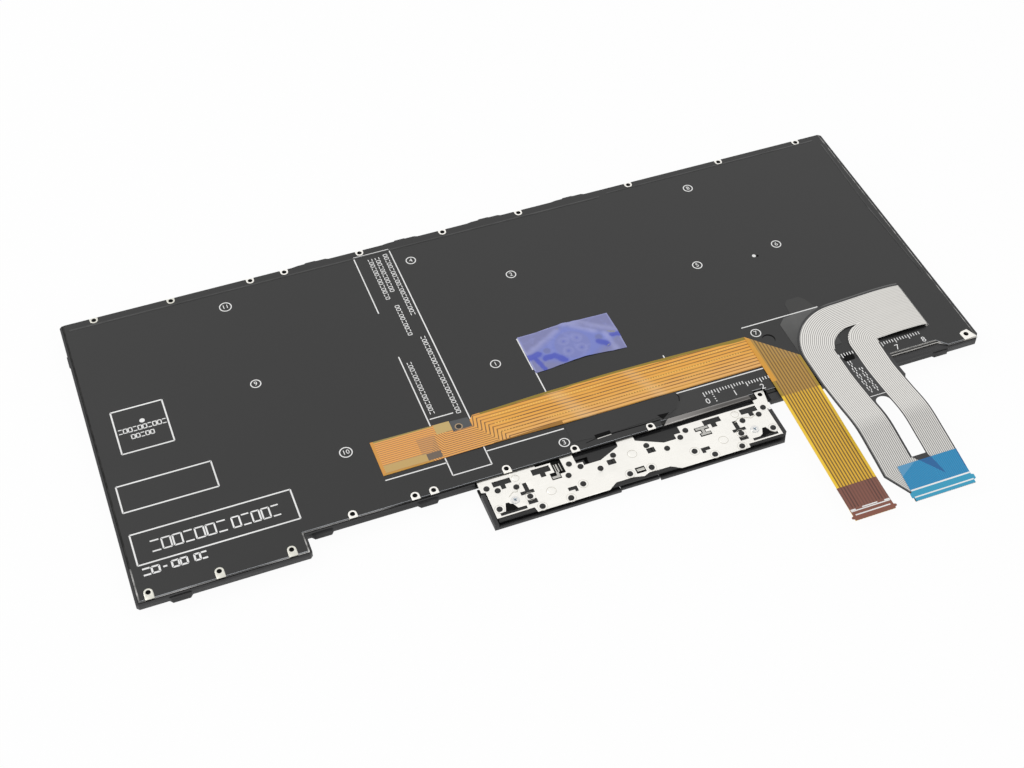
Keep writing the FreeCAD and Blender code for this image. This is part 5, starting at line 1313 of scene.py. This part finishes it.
class KEYBOARD_OT_module(bpy.types.Operator):
    """Dress the stamped plate, set its stakes, dies and clips, and finish the buttons"""

    bl_idname = "keyboard.module"
    bl_label = "Button Module"

    def execute(self, context):
        s = settings()
        zinc = sheet_metal("bright_zinc", (0.95, 0.93, 0.88), 0.3)
        rounded_copy("button_plate", "stamped_plate", 0.05, zinc, 1, 40)
        black = moulded("frame_plastic", (0.017, 0.017, 0.017), 0.5, 0.3, 0.01)
        black.node_tree.nodes["Principled BSDF"].inputs["Specular IOR Level"].default_value = 0.35
        dress("button_frame", black)
        posts = [from_end(1, x, y) for x, y in POSTS_LEFT] + [from_end(-1, x, y) for x, y in POSTS_RIGHT]
        bm = bmesh.new()
        foot, shoulder, crown, foot_height, crown_height = 0.98, 0.9, 0.55, 0.22, 0.14
        for x, y in posts:
            disc(bm, x, y, MODULE_TOP, foot, foot_height, 20, shoulder)
            disc(bm, x, y, MODULE_TOP + foot_height, shoulder, crown_height, 20, crown)
        piece("stake_heads", bm, black, smooth=50)
        bm = bmesh.new()
        for x, y, radius in DIES:
            disc(bm, x, y, MODULE_TOP - 0.01, radius, 0.07, 32, radius - 0.14)
        piece("pressed_dies", bm, zinc)
        bm = bmesh.new()
        # Painted shade: the darker rings round the dies stand in for the shade along their pressed edges; the rings
        # round the near posts and the lines are darker pressed marks.
        for x, y, radius in DIES:
            ring(bm, x, y, MODULE_TOP - 0.01, radius + 0.16, 0.14, 0.03)
        for x, y in posts:
            if y < MODULE_NEAR + 6.8:
                ring(bm, x, y, MODULE_TOP - 0.01, 1.62, 0.1, 0.03)
        for places in (((-73.0, -16.0), (-71.2, -14.6), (-69.9, -15.0), (-69.0, -13.1), (-67.8, -12.0)),
                       ((4.6, -13.6), (6.4, -12.2), (8.6, -12.6), (10.4, -13.6), (12.2, -12.9))):
            for start, end in zip(places, places[1:]):
                line(bm, start, end, 0.22, MODULE_TOP - 0.01, 0.04)
        piece("pressed_marks", bm, sheet_metal("pressed_zinc_and_shade", (0.58, 0.56, 0.5), 0.4))
        plastic = moulded("button_plastic", s.bezel_colour, 0.5, 0.25, 0.015)
        for node in ("button_left", "button_middle", "button_right"):
            rounded_copy(node, f"{node}_cap", 0.12, plastic, 2, 50)
        # Painted shade: near-black pads laid round and under the spring clips, where the gaps between them and the
        # plate show dark.
        bm = bmesh.new()
        for end, start, stop, near, far in ((1, 24.2, 27.4, 11.3, 16.2), (1, 22.5, 25.7, 9.7, 12.4),
                                            (-1, 22.4, 27.2, 11.7, 13.2), (-1, 23.9, 25.5, 9.3, 12.0),
                                            (-1, 22.4, 26.3, 9.3, 10.7), (1, 47.95, 51.1, 2.9, 5.2)):
            x, to_x = sorted(from_end(end, along, 0.0)[0] for along in (start, stop))
            slab(bm, x, to_x, MODULE_NEAR + near, MODULE_NEAR + far, MODULE_TOP - 0.02, MODULE_TOP + 0.012)
        for end, loop in ((1, ((5.8, 6.6), (7.9, 5.6), (8.9, 3.6), (4.8, 3.6))),
                          (-1, ((6.6, 5.9), (5.5, 5.8), (4.7, 4.2), (3.6, 3.0), (8.8, 3.0), (7.4, 3.9)))):
            fill(bm, [[from_end(end, x, y) for x, y in loop]], MODULE_TOP + 0.012)
        slab(bm, -48.6, -44.6, -10.4, -9.6, MODULE_TOP - 0.6, MODULE_TOP - 0.3)
        slab(bm, -46.0, -44.8, -13.0, -10.4, MODULE_TOP - 0.6, MODULE_TOP - 0.3)
        piece("spring_gap_shadows", bm, hollow(), smooth=None)
        bm = bmesh.new()
        slab(bm, MODULE_LEFT + 48.3, MODULE_LEFT + 50.8, MODULE_NEAR + 3.6, MODULE_NEAR + 4.6, MODULE_TOP,
             MODULE_TOP + 0.15)
        for x, width in ((24.85, 0.3), (25.6, 0.5), (26.6, 0.24)):
            line(bm, from_end(1, x, 12.2), from_end(1, x, 15.2), width, MODULE_TOP, 0.16)
        soften(bm, 0.05, 1, 30)
        piece("spring_leaves", bm, sheet_metal("leaf_steel", (0.55, 0.54, 0.5), 0.15))
        bm = bmesh.new()
        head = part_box("module_screws")[1].z / MM - 0.01
        for x, y in (from_end(1, 9.0, 6.7), from_end(-1, 9.1, 6.25)):
            ring(bm, x, y, MODULE_TOP - 0.01, 1.38, 0.16, 0.04)
            line(bm, (x - 0.55, y - 0.3), (x + 0.55, y + 0.3), 0.28, head, 0.02)
            line(bm, (x - 0.3, y + 0.55), (x + 0.3, y - 0.55), 0.28, head, 0.02)
        piece("screw_recesses", bm, moulded("recess_shade", (0.3, 0.4, 0.5), 0.4), smooth=None)
        dress("module_screws", sheet_metal("screw_steel", (0.82, 0.81, 0.79), 0.2))
        steel, graph, shader = new_material("spring_steel", (0.5, 0.49, 0.46), 0.2, 1.0)
        x, _, _ = graph.split(graph.places())
        graph.put(shader.inputs["Base Color"], graph.mix(graph.all(graph.over(x, -40.0), graph.under(x, -18.0)),
                                                         (0.5, 0.49, 0.46, 1), (0.05, 0.05, 0.048, 1)))
        dress("button_springs", steel)
        dress("button_circuit", moulded("circuit_lacquer", (0.02, 0.08, 0.04), 0.35))
        dress("button_domes", sheet_metal("snap_steel", (0.75, 0.74, 0.72), 0.25))
        return {"FINISHED"}


def looked_at(graph):
    """1 where the camera, a reflection or a see-through film looks at it, and 0 where it only gives light."""
    path = graph.add("ShaderNodeLightPath").outputs
    return graph.any(path["Is Camera Ray"], path["Is Glossy Ray"], path["Is Transmission Ray"])


class KEYBOARD_OT_stage(bpy.types.Operator):
    """Set the pale floor, the soft light and the camera"""

    bl_idname = "keyboard.stage"
    bl_label = "Stage"

    def execute(self, context):
        scene = context.scene
        bm = bmesh.new()
        bmesh.ops.create_grid(bm, x_segments=2, y_segments=2, size=3.0,
                              matrix=Matrix.Translation((0, 0, -0.0002)))
        mesh = bpy.data.meshes.new("floor")
        bm.to_mesh(mesh)
        bm.free()
        floor = bpy.data.objects.new("floor", mesh)
        scene.collection.objects.link(floor)
        material, graph, shader = new_material("floor_paper", (0.9, 0.9, 0.9), 0.9)
        shader.inputs["Specular IOR Level"].default_value = 0.0
        glow = graph.add("ShaderNodeEmission")
        glow.inputs["Color"].default_value = (1, 1, 1, 1)
        glow.inputs["Strength"].default_value = 1.0
        blend = graph.add("ShaderNodeMixShader")
        graph.put(blend.inputs["Fac"], graph.sums("MULTIPLY", looked_at(graph), 0.96))
        graph.put(blend.inputs[1], shader.outputs["BSDF"])
        graph.put(blend.inputs[2], glow.outputs["Emission"])
        graph.put(material.node_tree.nodes["Material Output"].inputs["Surface"], blend.outputs["Shader"])
        mesh.materials.append(material)

        world = scene.world or bpy.data.worlds.new("studio")
        scene.world = world
        world.use_nodes = True
        graph = Graph(world.node_tree)
        back = world.node_tree.nodes["Background"]
        back.inputs["Color"].default_value = (1, 1, 1, 1)
        graph.put(back.inputs["Strength"], graph.spread(looked_at(graph), 0.0, 1.0, 0.6, 1.0))

        def lamp(name, place, size, power):
            data = bpy.data.lights.new(name, "AREA")
            data.shape = "RECTANGLE"
            data.size, data.size_y = size
            data.energy = power
            holder = bpy.data.objects.new(name, data)
            scene.collection.objects.link(holder)
            holder.location = place
            holder.rotation_euler = (-Vector(place)).to_track_quat("-Z", "Y").to_euler()

        lamp("window_left", (-0.9, 0.5, 0.9), (0.9, 0.9), 6.0)
        lamp("window_near", (0.6, -0.9, 0.8), (0.8, 0.8), 3.0)

        camera = bpy.data.objects.new("camera", bpy.data.cameras.new("camera"))
        scene.collection.objects.link(camera)
        camera.data.lens = 56.38
        camera.data.sensor_width = 36.0
        camera.data.clip_start = 0.02
        camera.data.clip_end = 20.0
        # The camera's axes and place, as solved from the printed scale and the straight lines of print and board
        right = Vector((0.93272685, -0.36041202, 0.01112662))
        down = Vector((-0.26274939, -0.70046655, -0.66355812))
        ahead = Vector((0.24694815, 0.61599496, -0.74804199))
        turn = Matrix((right, -down, -ahead)).transposed()
        camera.matrix_world = Matrix.Translation((-0.13885, -0.31410, 0.39221)) @ turn.to_4x4()
        scene.camera = camera
        scene.view_settings.view_transform = "Standard"
        return {"FINISHED"}


STEPS = ("bezel", "film", "print", "keys", "sensor", "tapes", "silver_tail", "orange_flex", "module", "stage")


class KEYBOARD_PT_panel(bpy.types.Panel):
    """Settings and steps of the keyboard"""

    bl_idname = "KEYBOARD_PT_panel"
    bl_label = "Laptop Keyboard"
    bl_space_type = "VIEW_3D"
    bl_region_type = "UI"
    bl_category = "Keyboard"

    def draw(self, context):
        column = self.layout.column()
        for key in KeyboardSettings.__annotations__:
            column.prop(context.scene.keyboard_settings, key)
        for step in STEPS:
            column.operator(f"keyboard.{step}")


CLASSES = (KeyboardSettings, KEYBOARD_OT_bezel, KEYBOARD_OT_film, KEYBOARD_OT_print, KEYBOARD_OT_keys,
           KEYBOARD_OT_sensor, KEYBOARD_OT_tapes, KEYBOARD_OT_silver_tail, KEYBOARD_OT_orange_flex,
           KEYBOARD_OT_module, KEYBOARD_OT_stage, KEYBOARD_PT_panel)


def register():
    for cls in CLASSES:
        bpy.utils.register_class(cls)
    bpy.types.Scene.keyboard_settings = bpy.props.PointerProperty(type=KeyboardSettings)


def unregister():
    del bpy.types.Scene.keyboard_settings
    for cls in reversed(CLASSES):
        bpy.utils.unregister_class(cls)


def main():
    register()
    bpy.ops.keyboard.bezel()
    bpy.ops.keyboard.film()
    bpy.ops.keyboard.print()
    bpy.ops.keyboard.keys()
    bpy.ops.keyboard.sensor()
    bpy.ops.keyboard.tapes()
    bpy.ops.keyboard.silver_tail()
    bpy.ops.keyboard.orange_flex()
    bpy.ops.keyboard.module()
    bpy.ops.keyboard.stage()


if __name__ == "__main__":
    main()
